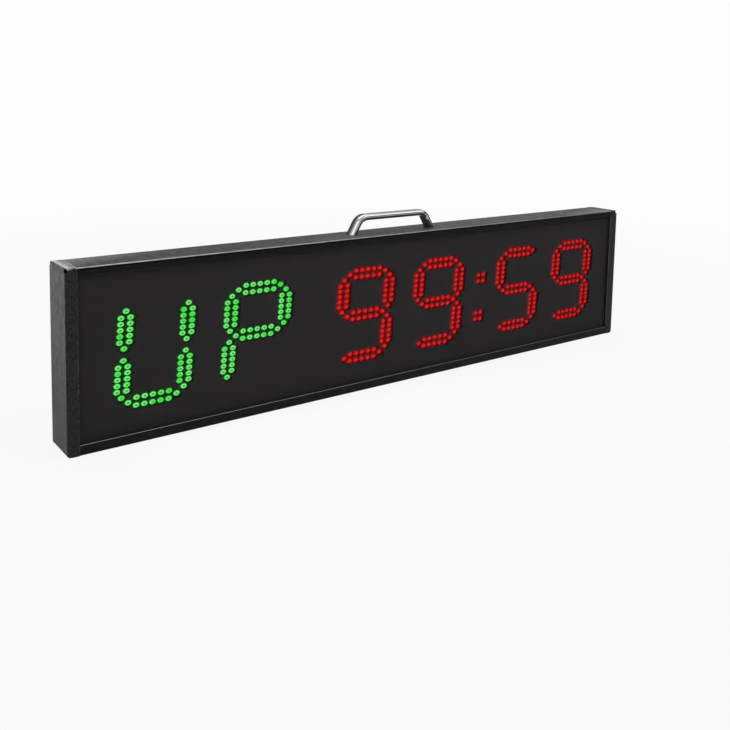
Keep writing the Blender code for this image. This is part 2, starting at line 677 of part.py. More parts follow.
def control_ribbon():
    """The side view of the ribbon from the right-hand lamp board back to the controller board."""
    low_x, high_x = RIBBON_CONTROL_X
    floor = BOARD_BACK + GAP
    top = floor + PLUG_HEIGHT
    ceiling = CONTROL_FRONT - GAP
    bottom = ceiling - PLUG_HEIGHT
    return [(low_x - PLUG_HALF_LENGTH, floor), (low_x - PLUG_HALF_LENGTH, top + RIBBON_THICKNESS),
            (high_x - PLUG_HALF_LENGTH, bottom), (high_x - PLUG_HALF_LENGTH, ceiling),
            (high_x + PLUG_HALF_LENGTH, ceiling), (high_x + PLUG_HALF_LENGTH, bottom - RIBBON_THICKNESS),
            (low_x + PLUG_HALF_LENGTH, top), (low_x + PLUG_HALF_LENGTH, floor)]


def make_ribbons():
    outlines = {"left": arched_ribbon(*RIBBON_LEFT_X), "middle": arched_ribbon(*RIBBON_MIDDLE_X),
                "control": control_ribbon()}
    for side, outline in outlines.items():
        bm = bmesh.new()
        prism(bm, outline, "Z", DIGIT_Z - RIBBON_WIDTH / 2, DIGIT_Z + RIBBON_WIDTH / 2)
        make_part("ribbon_cable_" + side, bm, ((0.35, 0.36, 0.38), 0.5, 0.0))


# Controller board and what stands on it

def make_controller_board():
    """The board on its U-shaped tray, held by a screw at each end."""
    low, high = CONTROL_X
    back = PANEL_FRONT - GAP
    sill = CONTROL_BACK + GAP
    middle_z = (CONTROL_Z[0] + CONTROL_Z[1]) / 2
    screw_places = [(low + CONTROL_SCREW_INSET, middle_z), (high - CONTROL_SCREW_INSET, middle_z)]
    section = [(low, sill), (low + TRAY_WALL, sill), (low + TRAY_WALL, back - TRAY_SHEET),
               (high - TRAY_WALL, back - TRAY_SHEET), (high - TRAY_WALL, sill), (high, sill),
               (high, back), (low, back)]
    tray_bm = bmesh.new()
    prism(tray_bm, section, "Z", *CONTROL_Z)
    tray = make_part("controller_tray", tray_bm, BLACK_PLASTIC)
    board_bm = bmesh.new()
    box(board_bm, CONTROL_X, (CONTROL_FRONT, CONTROL_BACK), CONTROL_Z)
    board = make_part("controller_board", board_bm, ((0.02, 0.12, 0.06), 0.45, 0.0))
    board_holes = bmesh.new()
    tray_bores = bmesh.new()
    for number, centre in enumerate(screw_places, start=1):
        through = [(CONTROL_SCREW_HOLE, level) for level in (CONTROL_FRONT - 1.0, CONTROL_BACK + 1.0)]
        turned(board_holes, through, SCREW_SIDES, "Y", centre)
        blind = [(CONTROL_SCREW_HOLE, level) for level in (sill - 1.0, sill + TRAY_BORE_DEPTH)]
        turned(tray_bores, blind, SCREW_SIDES, "Y", centre)
        screw = bmesh.new()
        pan_screw(screw, CONTROL_FRONT - GAP, sill + TRAY_BORE_DEPTH - 0.6, "Y", centre)
        make_part("controller_screw_%d" % number, screw, DARK_STEEL)
    shape_with(board, "DIFFERENCE", board_holes)
    shape_with(tray, "DIFFERENCE", tray_bores)


def make_controller_parts():
    floor = CONTROL_FRONT - GAP

    chip = bmesh.new()
    box(chip, (281.0, 295.0), (floor - 1.6, floor), (86.0, 100.0))
    make_part("controller_chip", chip, BLACK_PLASTIC)

    can = bmesh.new()
    turned(can, [(4.0, floor), (4.0, floor - 9.0)], SCREW_SIDES, "Y", (316.0, 88.0))
    make_part("capacitor", can, ((0.05, 0.05, 0.09), 0.35, 0.0))

    crystal = bmesh.new()
    stack(crystal, UNIT_SQUARE, [(5.5, 2.3, floor), (5.5, 2.3, floor - 3.4)], "Y", (288.0, 76.0))
    make_part("crystal", crystal, STEEL)

    cell_centre = (312.0, 52.0)
    holder = bmesh.new()
    turned(holder, [(12.0, floor), (12.0, floor - 4.6), (10.4, floor - 4.6), (10.4, floor - 1.2)],
           JACK_SIDES, "Y", cell_centre)
    make_part("coin_cell_holder", holder, BLACK_PLASTIC)
    cell = bmesh.new()
    turned(cell, [(9.6, floor - 1.5), (9.6, floor - 4.0), (8.6, floor - 4.6)], JACK_SIDES, "Y", cell_centre)
    make_part("coin_cell", cell, STEEL)

    buzzer = bmesh.new()
    turned(buzzer, [(6.0, floor), (6.0, floor - 8.5), (1.1, floor - 8.5), (1.1, floor - 6.5)],
           JACK_SIDES, "Y", (272.0, 52.0))
    make_part("buzzer", buzzer, BLACK_PLASTIC)


# Power jack and switch

def make_jack():
    bm = bmesh.new()
    turned(bm, [(JACK_BODY_RADIUS, JACK_BACK), (JACK_BODY_RADIUS, PANEL_FRONT - GAP),
                (JACK_THREAD_RADIUS, PANEL_FRONT - GAP), (JACK_THREAD_RADIUS, JACK_MOUTH),
                (JACK_BORE_RADIUS, JACK_MOUTH), (JACK_BORE_RADIUS, JACK_MOUTH - 10.5)],
           JACK_SIDES, "Y", (JACK_X, JACK_Z))
    make_part("power_jack", bm, BLACK_PLASTIC)

    pin = bmesh.new()
    pin_base = JACK_MOUTH - 10.5 + GAP
    turned(pin, [(JACK_PIN_RADIUS, pin_base), (JACK_PIN_RADIUS, JACK_MOUTH - 1.2), (0.6, JACK_MOUTH - 0.7)],
           NUT_SIDES, "Y", (JACK_X, JACK_Z))
    make_part("power_jack_pin", pin, STEEL)

    nut = bmesh.new()
    ring(nut, polygon(8.6, NUT_SIDES, (JACK_X, JACK_Z)), polygon(6.7, NUT_SIDES, (JACK_X, JACK_Z)), "Y",
         PANEL_BACK + GAP, PANEL_BACK + GAP + 2.0)
    make_part("power_jack_nut", nut, STEEL)


def rocker_outline():
    """The rocker's side view as (y, z) about its pivot: a shallow valley between two raised ends."""
    side_steps = 4
    ends = [ROCKER_END_ANGLE + (ROCKER_LOW_ANGLE - ROCKER_END_ANGLE) * step / side_steps
            for step in range(side_steps + 1)]
    upper = [(ROCKER_RADIUS * math.sin(angle), ROCKER_RADIUS * math.cos(angle)) for angle in ends]
    lower = [(y, -z) for y, z in reversed(upper)]
    return [(ROCKER_VALLEY, 0.0)] + upper + lower


def make_switch():
    bm = bmesh.new()
    stations = [(*HOUSING_HALF, HOUSING_BACK), (*HOUSING_HALF, BEZEL_FRONT),
                (*BEZEL_HALF, BEZEL_FRONT), (*BEZEL_HALF, BEZEL_BACK),
                (*POCKET_HALF, BEZEL_BACK), (*POCKET_HALF, POCKET_FLOOR)]
    stack(bm, UNIT_SQUARE, stations, "Y", (SWITCH_X, SWITCH_Z))
    housing = make_part("switch_housing", bm, BLACK_PLASTIC)
    pivots = bmesh.new()
    cross_hole = [(STUB_HOLE_RADIUS, SWITCH_X + reach) for reach in (-STUB_HOLE_REACH, STUB_HOLE_REACH)]
    turned(pivots, cross_hole, SCREW_SIDES, "X", (PIVOT_Y, SWITCH_Z))
    shape_with(housing, "DIFFERENCE", pivots)

    pivot = Vector((SWITCH_X, PIVOT_Y, SWITCH_Z)) * METRES
    body = bmesh.new()
    prism(body, rocker_outline(), "X", -ROCKER_HALF_WIDTH, ROCKER_HALF_WIDTH)
    rocker = make_part("switch_rocker", body, BLACK_PLASTIC)
    stubs = bmesh.new()
    turned(stubs, [(STUB_RADIUS, -STUB_REACH), (STUB_RADIUS, STUB_REACH)], SCREW_SIDES, "X", (0.0, 0.0))
    stub_tool = shape_with(rocker, "UNION", stubs)
    stub_tool.parent = rocker
    rocker.location = pivot
    rocker.rotation_euler = (SWITCH_TILT, 0.0, 0.0)

    for name, offset in (("supply", BLADE_OFFSET), ("output", -BLADE_OFFSET)):
        blade = bmesh.new()
        stack(blade, UNIT_SQUARE, [(2.4, 0.4, HOUSING_BACK - GAP), (2.4, 0.4, BLADE_TIP)], "Y",
              (SWITCH_X, SWITCH_Z + offset))
        make_part("switch_terminal_" + name, blade, STEEL)


def make_lead(name, points, colour):
    """A wire through the points, as a smooth tube with closed ends."""
    curve = bpy.data.curves.new(name, "CURVE")
    curve.dimensions = "3D"
    curve.bevel_depth = LEAD_RADIUS * METRES
    curve.bevel_resolution = 1
    curve.use_fill_caps = True
    route = smooth_route([Vector(point) for point in points], LEAD_STEPS)
    spline = curve.splines.new("POLY")
    spline.points.add(len(route) - 1)
    for point, position in zip(spline.points, route):
        point.co = (*(position * METRES), 1.0)
    curve.materials.append(principled(name, colour, 0.45, 0.0))
    lead = bpy.data.objects.new(name, curve)
    bpy.context.scene.collection.objects.link(lead)


def smooth_route(points, steps):
    """Points along a smooth curve through the route's own points."""
    ends = [points[0] * 2 - points[1], *points, points[-1] * 2 - points[-2]]
    route = []
    for first, second, third, fourth in zip(ends, ends[1:], ends[2:], ends[3:]):
        linear = third - first
        square = 2 * first - 5 * second + 4 * third - fourth
        cubic = 3 * second - first - 3 * third + fourth
        for step in range(steps):
            t = step / steps
            route.append(second + 0.5 * (linear * t + square * t ** 2 + cubic * t ** 3))
    return route + [points[-1]]


def make_power_leads():
    """Red from the jack to the switch and on to the controller, black from the jack to the controller."""
    red = (0.5, 0.02, 0.02)
    black = (0.02, 0.02, 0.02)
    blade = BLADE_TIP - GAP
    jack = JACK_BACK - GAP
    edge = CONTROL_X[1] + GAP
    solder = CONTROL_FRONT + BOARD_THICKNESS / 2
    make_lead("power_lead_supply", [(JACK_X, jack, JACK_Z + 4.0), (JACK_X, jack - 5.0, JACK_Z + 4.5),
                                    (378.0, -2.0, JACK_Z + 12.0), (360.0, -3.0, SWITCH_Z + 11.0),
                                    (SWITCH_X, -3.0, SWITCH_Z + BLADE_OFFSET),
                                    (SWITCH_X, blade, SWITCH_Z + BLADE_OFFSET)], red)
    make_lead("power_lead_switched", [(SWITCH_X, blade, SWITCH_Z - BLADE_OFFSET),
                                      (SWITCH_X, -3.0, SWITCH_Z - BLADE_OFFSET), (343.0, 0.0, SWITCH_Z + 6.0),
                                      (338.0, 8.0, SWITCH_Z + 26.0), (edge + 4.0, solder, SWITCH_Z + 32.0),
                                      (edge, solder, SWITCH_Z + 32.0)], red)
    make_lead("power_lead_return", [(JACK_X, jack, JACK_Z - 4.0), (JACK_X, jack - 5.0, JACK_Z - 4.5),
                                    (378.0, 3.0, JACK_Z - 16.0), (352.0, 5.0, JACK_Z - 20.0),
                                    (339.0, 9.0, JACK_Z - 6.0), (edge + 4.0, solder, JACK_Z + 10.0),
                                    (edge, solder, JACK_Z + 10.0)], black)


def main():
    for item in list(bpy.data.objects):
        bpy.data.objects.remove(item)
    make_rail("bottom_rail", BOTTOM_LIP, False)
    make_rail("top_rail", TOP_LIP, True)
    make_end_cap("end_cap_left", -1)
    make_end_cap("end_cap_right", 1)
    make_end_cap_screws()
    make_front_filter()
    make_rear_panel()
    make_rear_panel_screws()
    make_hanger_plate("hanger_plate_left", -1)
    make_hanger_plate("hanger_plate_right", 1)
    make_carry_handle()
    make_handle_screws()
    make_lamps()
    make_lamp_boards()
    make_infrared_receiver()
    make_ribbons()
    make_controller_board()
    make_controller_parts()
    make_jack()
    make_switch()
    make_power_leads()


main()
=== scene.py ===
# %% [markdown]
# # A gym clock
# This lesson dresses the CAD model of a gym clock: a slim black metal case with six digits made of
# oval lamps, a smoked front and a carry handle. The CAD already has every piece at its real size.
# Here the pieces get rounded bends, real lamp domes, screw recesses and procedural materials.

# %% Load the CAD model
import json
import math

import bmesh
import bpy
from mathutils import Matrix, Vector, kdtree


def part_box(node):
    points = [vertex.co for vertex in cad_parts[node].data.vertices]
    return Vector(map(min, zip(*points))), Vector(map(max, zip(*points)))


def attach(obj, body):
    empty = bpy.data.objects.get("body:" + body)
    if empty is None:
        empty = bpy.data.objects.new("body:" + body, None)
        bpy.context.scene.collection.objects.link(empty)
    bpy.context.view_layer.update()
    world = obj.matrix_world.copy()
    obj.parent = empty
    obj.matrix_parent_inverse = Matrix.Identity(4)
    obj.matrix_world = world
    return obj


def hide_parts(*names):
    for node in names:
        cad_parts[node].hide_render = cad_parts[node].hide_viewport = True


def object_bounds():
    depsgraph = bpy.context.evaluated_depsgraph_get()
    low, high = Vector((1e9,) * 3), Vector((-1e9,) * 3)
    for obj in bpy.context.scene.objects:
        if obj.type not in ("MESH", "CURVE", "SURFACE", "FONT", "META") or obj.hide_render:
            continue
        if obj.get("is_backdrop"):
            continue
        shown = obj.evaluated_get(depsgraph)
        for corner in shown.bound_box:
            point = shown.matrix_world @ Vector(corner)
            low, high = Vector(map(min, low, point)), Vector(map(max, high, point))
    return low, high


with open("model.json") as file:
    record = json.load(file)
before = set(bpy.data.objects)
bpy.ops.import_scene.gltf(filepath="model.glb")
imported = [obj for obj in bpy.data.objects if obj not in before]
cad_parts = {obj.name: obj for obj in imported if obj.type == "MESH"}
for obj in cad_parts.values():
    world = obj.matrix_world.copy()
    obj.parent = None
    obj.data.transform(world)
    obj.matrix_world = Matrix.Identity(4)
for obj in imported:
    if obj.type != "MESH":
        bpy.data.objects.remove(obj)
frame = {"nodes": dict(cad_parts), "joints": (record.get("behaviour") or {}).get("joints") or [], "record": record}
nodes = frame["nodes"]
cad_low, cad_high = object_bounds()
MM = 0.001
print("CAD box in millimetres:", [round(side / MM, 1) for side in cad_high - cad_low])

# %% [markdown]
# ## The camera
# The photograph looks at the clock from its left and a little above. The camera was found by
# matching the corners of the case, so its place and directions are measured numbers. The upright
# edges stay almost parallel in the photograph, so the camera is tilted only a little and its lens
# is shifted down.

# %% Place the camera
def add_object(name, data):
    """Puts a mesh, a lamp or a camera into the scene."""
    item = bpy.data.objects.new(name, data)
    bpy.context.scene.collection.objects.link(item)
    return item


PICTURE_WIDTH = 730.0
FOCAL_PIXELS = 880.1
HORIZON_PIXELS = 185.0
camera_place = Vector((-718.0, -908.0, 389.0)) * MM
forward = Vector((0.592, 0.799, -0.105)).normalized()
right = forward.cross(Vector((0.047, 0.096, 0.994))).normalized()
upward = right.cross(forward)

camera_data = bpy.data.cameras.new("photo_camera")
camera_data.sensor_width = 36.0
camera_data.lens = FOCAL_PIXELS / PICTURE_WIDTH * camera_data.sensor_width
camera_data.shift_y = -HORIZON_PIXELS / PICTURE_WIDTH
camera_data.clip_start = 0.01
camera = add_object("photo_camera", camera_data)
camera.matrix_world = (Matrix.Translation(camera_place)
                       @ Matrix((right, upward, -forward)).transposed().to_4x4())
bpy.context.scene.camera = camera
print("lens in millimetres:", round(camera_data.lens, 1))

# %% [markdown]
# ## Node helpers
# Every material below is a small network of shader nodes. One helper fills or links the inputs of
# a node and another adds a node, which keeps each network as short as a recipe.

# %% Add and link nodes
def fill(tree, node, **inputs):
    """Fills a node's inputs. Each is named, or numbered as i0, i1, and takes a number, a colour or
    a socket to link."""
    for name, value in inputs.items():
        numbered = name[0] == "i" and name[1:].isdigit()
        socket = node.inputs[int(name[1:]) if numbered else name.replace("_", " ")]
        if isinstance(value, bpy.types.NodeSocket):
            tree.links.new(value, socket)
        elif socket.type == "RGBA":
            socket.default_value = (*value, 1.0)
        else:
            socket.default_value = value
    return node


def add_node(tree, kind, settings=None, **inputs):
    node = tree.nodes.new(kind)
    for name, value in (settings or {}).items():
        setattr(node, name, value)
    return fill(tree, node, **inputs)


def add_math(tree, operation, first, second):
    return add_node(tree, "ShaderNodeMath", {"operation": operation}, i0=first, i1=second).outputs[0]


def times(tree, first, second):
    return add_math(tree, "MULTIPLY", first, second)


def plus(tree, first, second):
    return add_math(tree, "ADD", first, second)


def remap(tree, value, low, high, new_low=0.0, new_high=1.0):
    """Stretches a value from one range to another, and clamps it there."""
    return add_node(tree, "ShaderNodeMapRange", i0=value, i1=low, i2=high, i3=new_low,
                    i4=new_high).outputs[0]


def mix_colours(tree, factor, first, second):
    return add_node(tree, "ShaderNodeMix", {"data_type": "RGBA"}, i0=factor, i6=first,
                    i7=second).outputs[2]


# %% Read places and painted values
def object_place(tree):
    return add_node(tree, "ShaderNodeTexCoord").outputs["Object"]


def attribute(tree, name):
    """The value that is painted under this name on the corners of a piece."""
    return add_node(tree, "ShaderNodeAttribute", {"attribute_name": name}).outputs["Fac"]


def noise(tree, scale, detail=2.0, roughness=0.5, vector=None):
    place = object_place(tree) if vector is None else vector
    return add_node(tree, "ShaderNodeTexNoise", Vector=place, Scale=scale, Detail=detail,
                    Roughness=roughness).outputs[0]


# %% Start, finish and use node groups
def start_group(name, **numbers):
    """Starts a node group with named number inputs, and gives them as sockets."""
    group = bpy.data.node_groups.new(name, "ShaderNodeTree")
    for label, default in numbers.items():
        socket = group.interface.new_socket(label.replace("_", " "), in_out="INPUT",
                                            socket_type="NodeSocketFloat")
        socket.default_value = default
    return group, group.nodes.new("NodeGroupInput").outputs


def finish_group(group, **outputs):
    """Ends a node group with named outputs, each linked to the socket that feeds it."""
    for label in outputs:
        group.interface.new_socket(label, in_out="OUTPUT", socket_type="NodeSocketFloat")
    fill(group, group.nodes.new("NodeGroupOutput"), **outputs)
    print("node group:", group.name)
    return group


def use_group(tree, group, **numbers):
    return add_node(tree, "ShaderNodeGroup", {"node_tree": group}, **numbers).outputs


# %% [markdown]
# ## Shared surface effects
# Powder coat, moulded plastic and plated steel all have a fine texture, some handling marks and
# edges that catch more light. Each effect is one node group, so that every material can place it
# with its own scale. Three attributes are painted when the pieces are made: one on the bends, where
# the coat is rubbed and a highlight is painted; one for a paler tone, partly dust and handling and
# partly painted light; and one for a line of painted shade just below a bend.

# %% Fine grain
group, entry = start_group("fine_grain", Grain_per_metre=1500.0)
fine = noise(group, entry["Grain per metre"], 3.0)
clumps = noise(group, times(group, entry["Grain per metre"], 0.33))
together = plus(group, times(group, fine, 0.45), times(group, clumps, 0.55))
fine_grain = finish_group(group, Height=together, Speckle=remap(group, together, 0.42, 0.58))

# %% Handling marks
group, entry = start_group("handling_marks", Marks_per_metre=14.0, Amount=0.5)
patchy = remap(group, noise(group, entry["Marks per metre"], 5.0, 0.62), 0.45, 0.75)
handling_marks = finish_group(group, Mask=times(group, patchy, entry["Amount"]))

# %% Worn and highlighted bends, paler tone and painted shade
group, entry = start_group("wear_and_painted_light", Breaks_per_metre=90.0, Amount=0.8)
breaks = noise(group, entry["Breaks per metre"], 4.0)


def broken_up(name, *ranges):
    """A painted value that a noise breaks up a little."""
    return times(group, attribute(group, name), remap(group, breaks, *ranges))


# Bend marks are worn paint and a painted highlight, the paler tone is dust and painted light, and the crease is
# painted shade.
wear_and_highlight = times(group, broken_up("bend", 0.25, 0.6, 0.6, 1.0), entry["Amount"])
wear_and_painted_light = finish_group(group, Mask=wear_and_highlight, Pale=broken_up("pale", 0.3, 0.7, 0.8, 1.0),
                          Crease=broken_up("crease", 0.3, 0.7, 1.0, 0.8))

# %% Brushed lines
group, entry = start_group("brushed_lines", Lines_per_metre=3500.0, Stretch=0.02)
stretched = add_node(group, "ShaderNodeCombineXYZ", X=entry["Stretch"], Y=1.0, Z=1.0)
along = add_node(group, "ShaderNodeVectorMath", {"operation": "MULTIPLY"}, i0=object_place(group),
                 i1=stretched.outputs[0])
lines = noise(group, entry["Lines per metre"], vector=along.outputs[0])
brushed_lines = finish_group(group, Height=lines, Tone=remap(group, lines, 0.3, 0.7))

# %% [markdown]
# ## Materials
# A coated surface is one recipe with different values: a base colour, paler speckles in its grain,
# bends that are rubbed and carry a painted highlight, and a bump from a few hundredths to three
# tenths of a millimetre deep. Some also take a paler tone of dust and painted light and a line of
# painted shade. Metals swap the speckles for brushed lines. The recipe is a function, and each
# finish is one call.

# %% Coated and moulded surfaces
def grey(value):
    return (value, value, value)


NEAR_BLACK = grey(0.0005)


def start_material(name, base, roughness, metallic=0.0, gloss=0.5, alpha=1.0):
    """Starts a material. Values that are the same all over are set on the shader's own sockets."""
    material = bpy.data.materials.new(name)
    material.use_nodes = True
    material.diffuse_color = (*base, 1.0)
    tree = material.node_tree
    shader = fill(tree, tree.nodes["Principled BSDF"], Base_Color=base, Roughness=roughness,
                  Metallic=metallic, Specular_IOR_Level=gloss, Alpha=alpha)
    print("material:", name)
    return material, tree, shader


def add_bump(tree, height, strength, depth):
    return add_node(tree, "ShaderNodeBump", Height=height, Strength=strength,
                    Distance=depth).outputs[0]


def coated(name, base, speckle, bend_colour, roughness, grain, depth, gloss=0.5, pale=None):
    """Paint or moulded plastic: grain lightens the colour and roughens the surface."""
    material, tree, shader = start_material(name, base, roughness, gloss=gloss)
    texture = use_group(tree, fine_grain, Grain_per_metre=grain)
    marks = use_group(tree, handling_marks)["Mask"]
    painted_marks = use_group(tree, wear_and_painted_light)
    colour = mix_colours(tree, texture["Speckle"], base, speckle)
    uneven = plus(tree, remap(tree, texture["Speckle"], 0.0, 1.0, roughness - 0.04, roughness + 0.07),
                  remap(tree, marks, 0.0, 0.5, 0.05, -0.05))
    # Where a piece carries them, a paler tone mixes in dust and painted light, and a near-black line is painted
    # shade below a bend.
    if pale is not None:
        coarse = remap(tree, noise(tree, 130.0), 0.35, 0.65, 0.6, 1.4)
        grainy = times(tree, remap(tree, texture["Speckle"], 0.0, 1.0, 0.3, 1.7), coarse)
        colour = mix_colours(tree, times(tree, painted_marks["Pale"], grainy), colour, pale)
        colour = mix_colours(tree, painted_marks["Crease"], colour, NEAR_BLACK)
        uneven = plus(tree, uneven, times(tree, painted_marks["Crease"], 0.5))
    # Marked bends take their own colour, partly worn paint and partly a painted highlight.
    fill(tree, shader, Base_Color=mix_colours(tree, painted_marks["Mask"], colour, bend_colour),
         Roughness=add_math(tree, "SUBTRACT", uneven, times(tree, painted_marks["Mask"], 0.1)),
         Normal=add_bump(tree, texture["Height"], 0.5, depth))
    return material


# The colour of the case's marked bends: worn paint and a painted highlight.
WORN_AND_HIGHLIGHT_PAINT = (0.6, 0.6, 0.605)
powder_coat = coated("powder_coat", (0.012, 0.0125, 0.012), (0.028, 0.029, 0.028), WORN_AND_HIGHLIGHT_PAINT,
                     0.44, 1500.0, 0.00025, gloss=0.08, pale=(0.20, 0.20, 0.203))
rail_coat = coated("rail_coat", grey(0.004), grey(0.012), WORN_AND_HIGHLIGHT_PAINT, 0.44, 1500.0, 0.00025,
                   gloss=0.06, pale=(0.12, 0.12, 0.122))
moulded_black = coated("moulded_black", (0.012, 0.012, 0.013), (0.02, 0.02, 0.021), grey(0.05), 0.38,
                       2600.0, 0.00004)
# The foam is a dark grey instead of black: painted light that lifts the shadow of the caps' flanges on it.
foam_with_painted_light = coated("foam_with_painted_light", grey(0.14), grey(0.16), grey(0.17), 0.85, 900.0, 0.0003, gloss=0.1)


# %% Bare and plated metals
def metal(name, base, shade, roughness, lines, depth):
    """Bare or plated metal: brushed lines change its tone and its gloss."""
    material, tree, shader = start_material(name, base, roughness, metallic=1.0)
    texture = use_group(tree, brushed_lines, Lines_per_metre=lines)
    marks = use_group(tree, handling_marks, Marks_per_metre=40.0)["Mask"]
    painted_marks = use_group(tree, wear_and_painted_light, Amount=0.5)["Mask"]
    toned = mix_colours(tree, texture["Tone"], base, shade)
    bright = tuple(min(1.0, channel * 1.5) for channel in base)
    uneven = remap(tree, texture["Tone"], 0.0, 1.0, roughness - 0.03, roughness + 0.04)
    fill(tree, shader, Base_Color=mix_colours(tree, painted_marks, toned, bright),
         Roughness=plus(tree, uneven, times(tree, marks, 0.12)),
         Normal=add_bump(tree, texture["Height"], 0.3, depth))
    return material


handle_metal = metal("handle_metal", (0.39, 0.39, 0.395), (0.36, 0.36, 0.365), 0.06, 2600.0, 0.00001)
zinc_plate = metal("zinc_plate", (0.52, 0.53, 0.55), (0.42, 0.43, 0.45), 0.34, 900.0, 0.00003)
blackened_steel = metal("blackened_steel", (0.09, 0.09, 0.095), (0.06, 0.06, 0.065), 0.34, 2000.0,
                        0.00003)
bright_steel = metal("bright_steel", grey(0.6), (0.5, 0.5, 0.51), 0.25, 2000.0, 0.00002)

# %% [markdown]
# ## The smoked front
# The front is a clear acrylic sheet with a smoked print on its back. The print hides the unlit lamps
# and the boards, and lets the lit lamps through. In the photograph the front has one flat dark tone
# and mirrors nothing, with a darker rim round each lit lamp. A rough, weak reflection keeps the tone
# flat. The print is nearly opaque, and at a lit lamp it is blacker and lets about a quarter of the
# light through. An attribute called window, painted round the lit lamps, drives both.

# %% Clear sheet and smoked print
clear_acrylic, tree, shader = start_material("clear_acrylic", (0.02, 0.019, 0.0195), 0.3, gloss=0.1,
                                             alpha=0.1)
marks = use_group(tree, handling_marks, Marks_per_metre=9.0, Amount=0.6)["Mask"]
fill(tree, shader, Roughness=remap(tree, marks, 0.0, 0.6, 0.27, 0.36),
     Base_Color=mix_colours(tree, marks, (0.018, 0.017, 0.0175), (0.024, 0.023, 0.0235)))

PRINT_TONE = (0.0355, 0.0325, 0.0337)
PRINT_SPECKLE = (0.0361, 0.0331, 0.0343)
PRINT_ALPHA = 0.94
WINDOW_ALPHA = 0.72
smoked_print, tree, shader = start_material("smoked_print", PRINT_TONE, 0.6, gloss=0.0,
                                            alpha=PRINT_ALPHA)
grain = use_group(tree, fine_grain, Grain_per_metre=900.0)
toned = mix_colours(tree, grain["Speckle"], PRINT_TONE, PRINT_SPECKLE)
window = attribute(tree, "window")
fill(tree, shader, Base_Color=mix_colours(tree, window, toned, NEAR_BLACK),
     Alpha=remap(tree, window, 0.0, 1.0, PRINT_ALPHA, WINDOW_ALPHA),
     Roughness=remap(tree, grain["Height"], 0.3, 0.7, 0.55, 0.65))

# %% [markdown]
# ## Lamp resin
# A lit lamp is a tinted resin dome with a bright chip deep inside. Seen from the front a green one
# glows in a saturated colour at its tip and is paler at its shoulder, and a red one is palest at its
# tip. The sides of both fade to a dark tint. The attribute station runs from 0 at the dome's tip to
# 1 at its root, and a colour ramp turns it into that glow. A noise makes some domes more even than
# others. Some of the light spills onto the housing round each lamp, which is painted there with a
# second attribute called spill.

# %% Glowing and unlit resin
def lamp_resin(name, tint, stops, hot, strength):
    material, tree, shader = start_material(name, tint, 0.18, gloss=0.15)
    station = attribute(tree, "station")
    ramp = add_node(tree, "ShaderNodeValToRGB", Fac=station)
    while len(ramp.color_ramp.elements) < len(stops):
        ramp.color_ramp.elements.new(0.5)
    for element, (position, colour) in zip(ramp.color_ramp.elements, stops):
        element.position = position
        element.color = (*colour, 1.0)
    share = remap(tree, noise(tree, 55.0, 1.0), 0.5, 0.64, 0.0, 0.75)
    even = mix_colours(tree, remap(tree, station, 0.55, 0.65), hot, ramp.outputs[0])
    fill(tree, shader, Emission_Color=mix_colours(tree, share, ramp.outputs[0], even),
         Emission_Strength=strength)
    return material


GREEN_STOPS = ((0.0, (0.0, 0.26, 0.005)), (0.14, (0.0, 0.32, 0.008)), (0.34, (0.21, 0.84, 0.22)),
               (0.56, (0.21, 0.84, 0.22)), (0.7, (0.01, 0.34, 0.02)), (0.8, (0.0, 0.08, 0.0)),
               (1.0, (0.0, 0.03, 0.0)))
RED_STOPS = ((0.0, (0.66, 0.08, 0.085)), (0.16, (0.60, 0.04, 0.045)), (0.36, (0.58, 0.012, 0.016)),
             (0.62, (0.52, 0.008, 0.01)), (0.72, (0.28, 0.002, 0.002)), (0.82, (0.12, 0.0, 0.0)),
             (1.0, (0.08, 0.0, 0.0)))
green_glow = lamp_resin("green_glow", (0.10, 0.45, 0.12), GREEN_STOPS, (0.01, 0.68, 0.02), 3.9)
red_glow = lamp_resin("red_glow", (0.45, 0.05, 0.05), RED_STOPS, (0.72, 0.012, 0.014), 3.1)
UNLIT_BLACKS = (grey(0.004), grey(0.005), grey(0.006))
unlit_resin = coated("unlit_resin", *UNLIT_BLACKS, 0.5, 900.0, 0.00002, gloss=0.02)


def housing_plastic(name, glow, strength):
    """Black plastic with a painted glow of the lamps' light, where its spill attribute is painted."""
    material = coated(name, *UNLIT_BLACKS, 0.6, 2600.0, 0.00003, gloss=0.02)
    tree = material.node_tree
    patches = remap(tree, noise(tree, 260.0), 0.3, 0.7, 0.6, 1.0)
    painted_glow = mix_colours(tree, times(tree, attribute(tree, "spill"), patches), grey(0.0), glow)
    fill(tree, tree.nodes["Principled BSDF"], Emission_Color=painted_glow, Emission_Strength=strength)
    return material


housing_green = housing_plastic("housing_green", (0.0, 1.0, 0.0), 0.24)
housing_red = housing_plastic("housing_red", (1.0, 0.0, 0.0), 0.85)

# %% [markdown]
# ## Making pieces
# A finished piece is a mesh whose object stays at the origin. One helper turns a bmesh into such a
# piece: it points the faces outwards, smooths everything but the real edges, gives it its material,
# and lets it ride on a body of the CAD model in place of the nodes that it stands for.

# %% Finish a piece
def mesh_of(name, bm):
    mesh = bpy.data.meshes.new(name)
    bm.to_mesh(mesh)
    bm.free()
    return mesh


def finish_piece(name, bm, material, body="case", stands_for=(), sharp=40.0):
    bmesh.ops.recalc_face_normals(bm, faces=bm.faces[:])
    mesh = mesh_of(name, bm)
    mesh.shade_smooth()
    mesh.set_sharp_from_angle(angle=math.radians(sharp))
    mesh.materials.append(material)
    piece = add_object(name, mesh)
    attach(piece, body)
    if stands_for:
        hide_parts(*stands_for)
    print(name, "has", len(mesh.polygons), "faces")
    return piece


def paint(material, name):
    """Gives a CAD node that keeps its shape its detailed material."""
    nodes[name].data.materials.clear()
    nodes[name].data.materials.append(material)


# %% Pick corners, edges and faces
TOUCH = 0.01 * MM


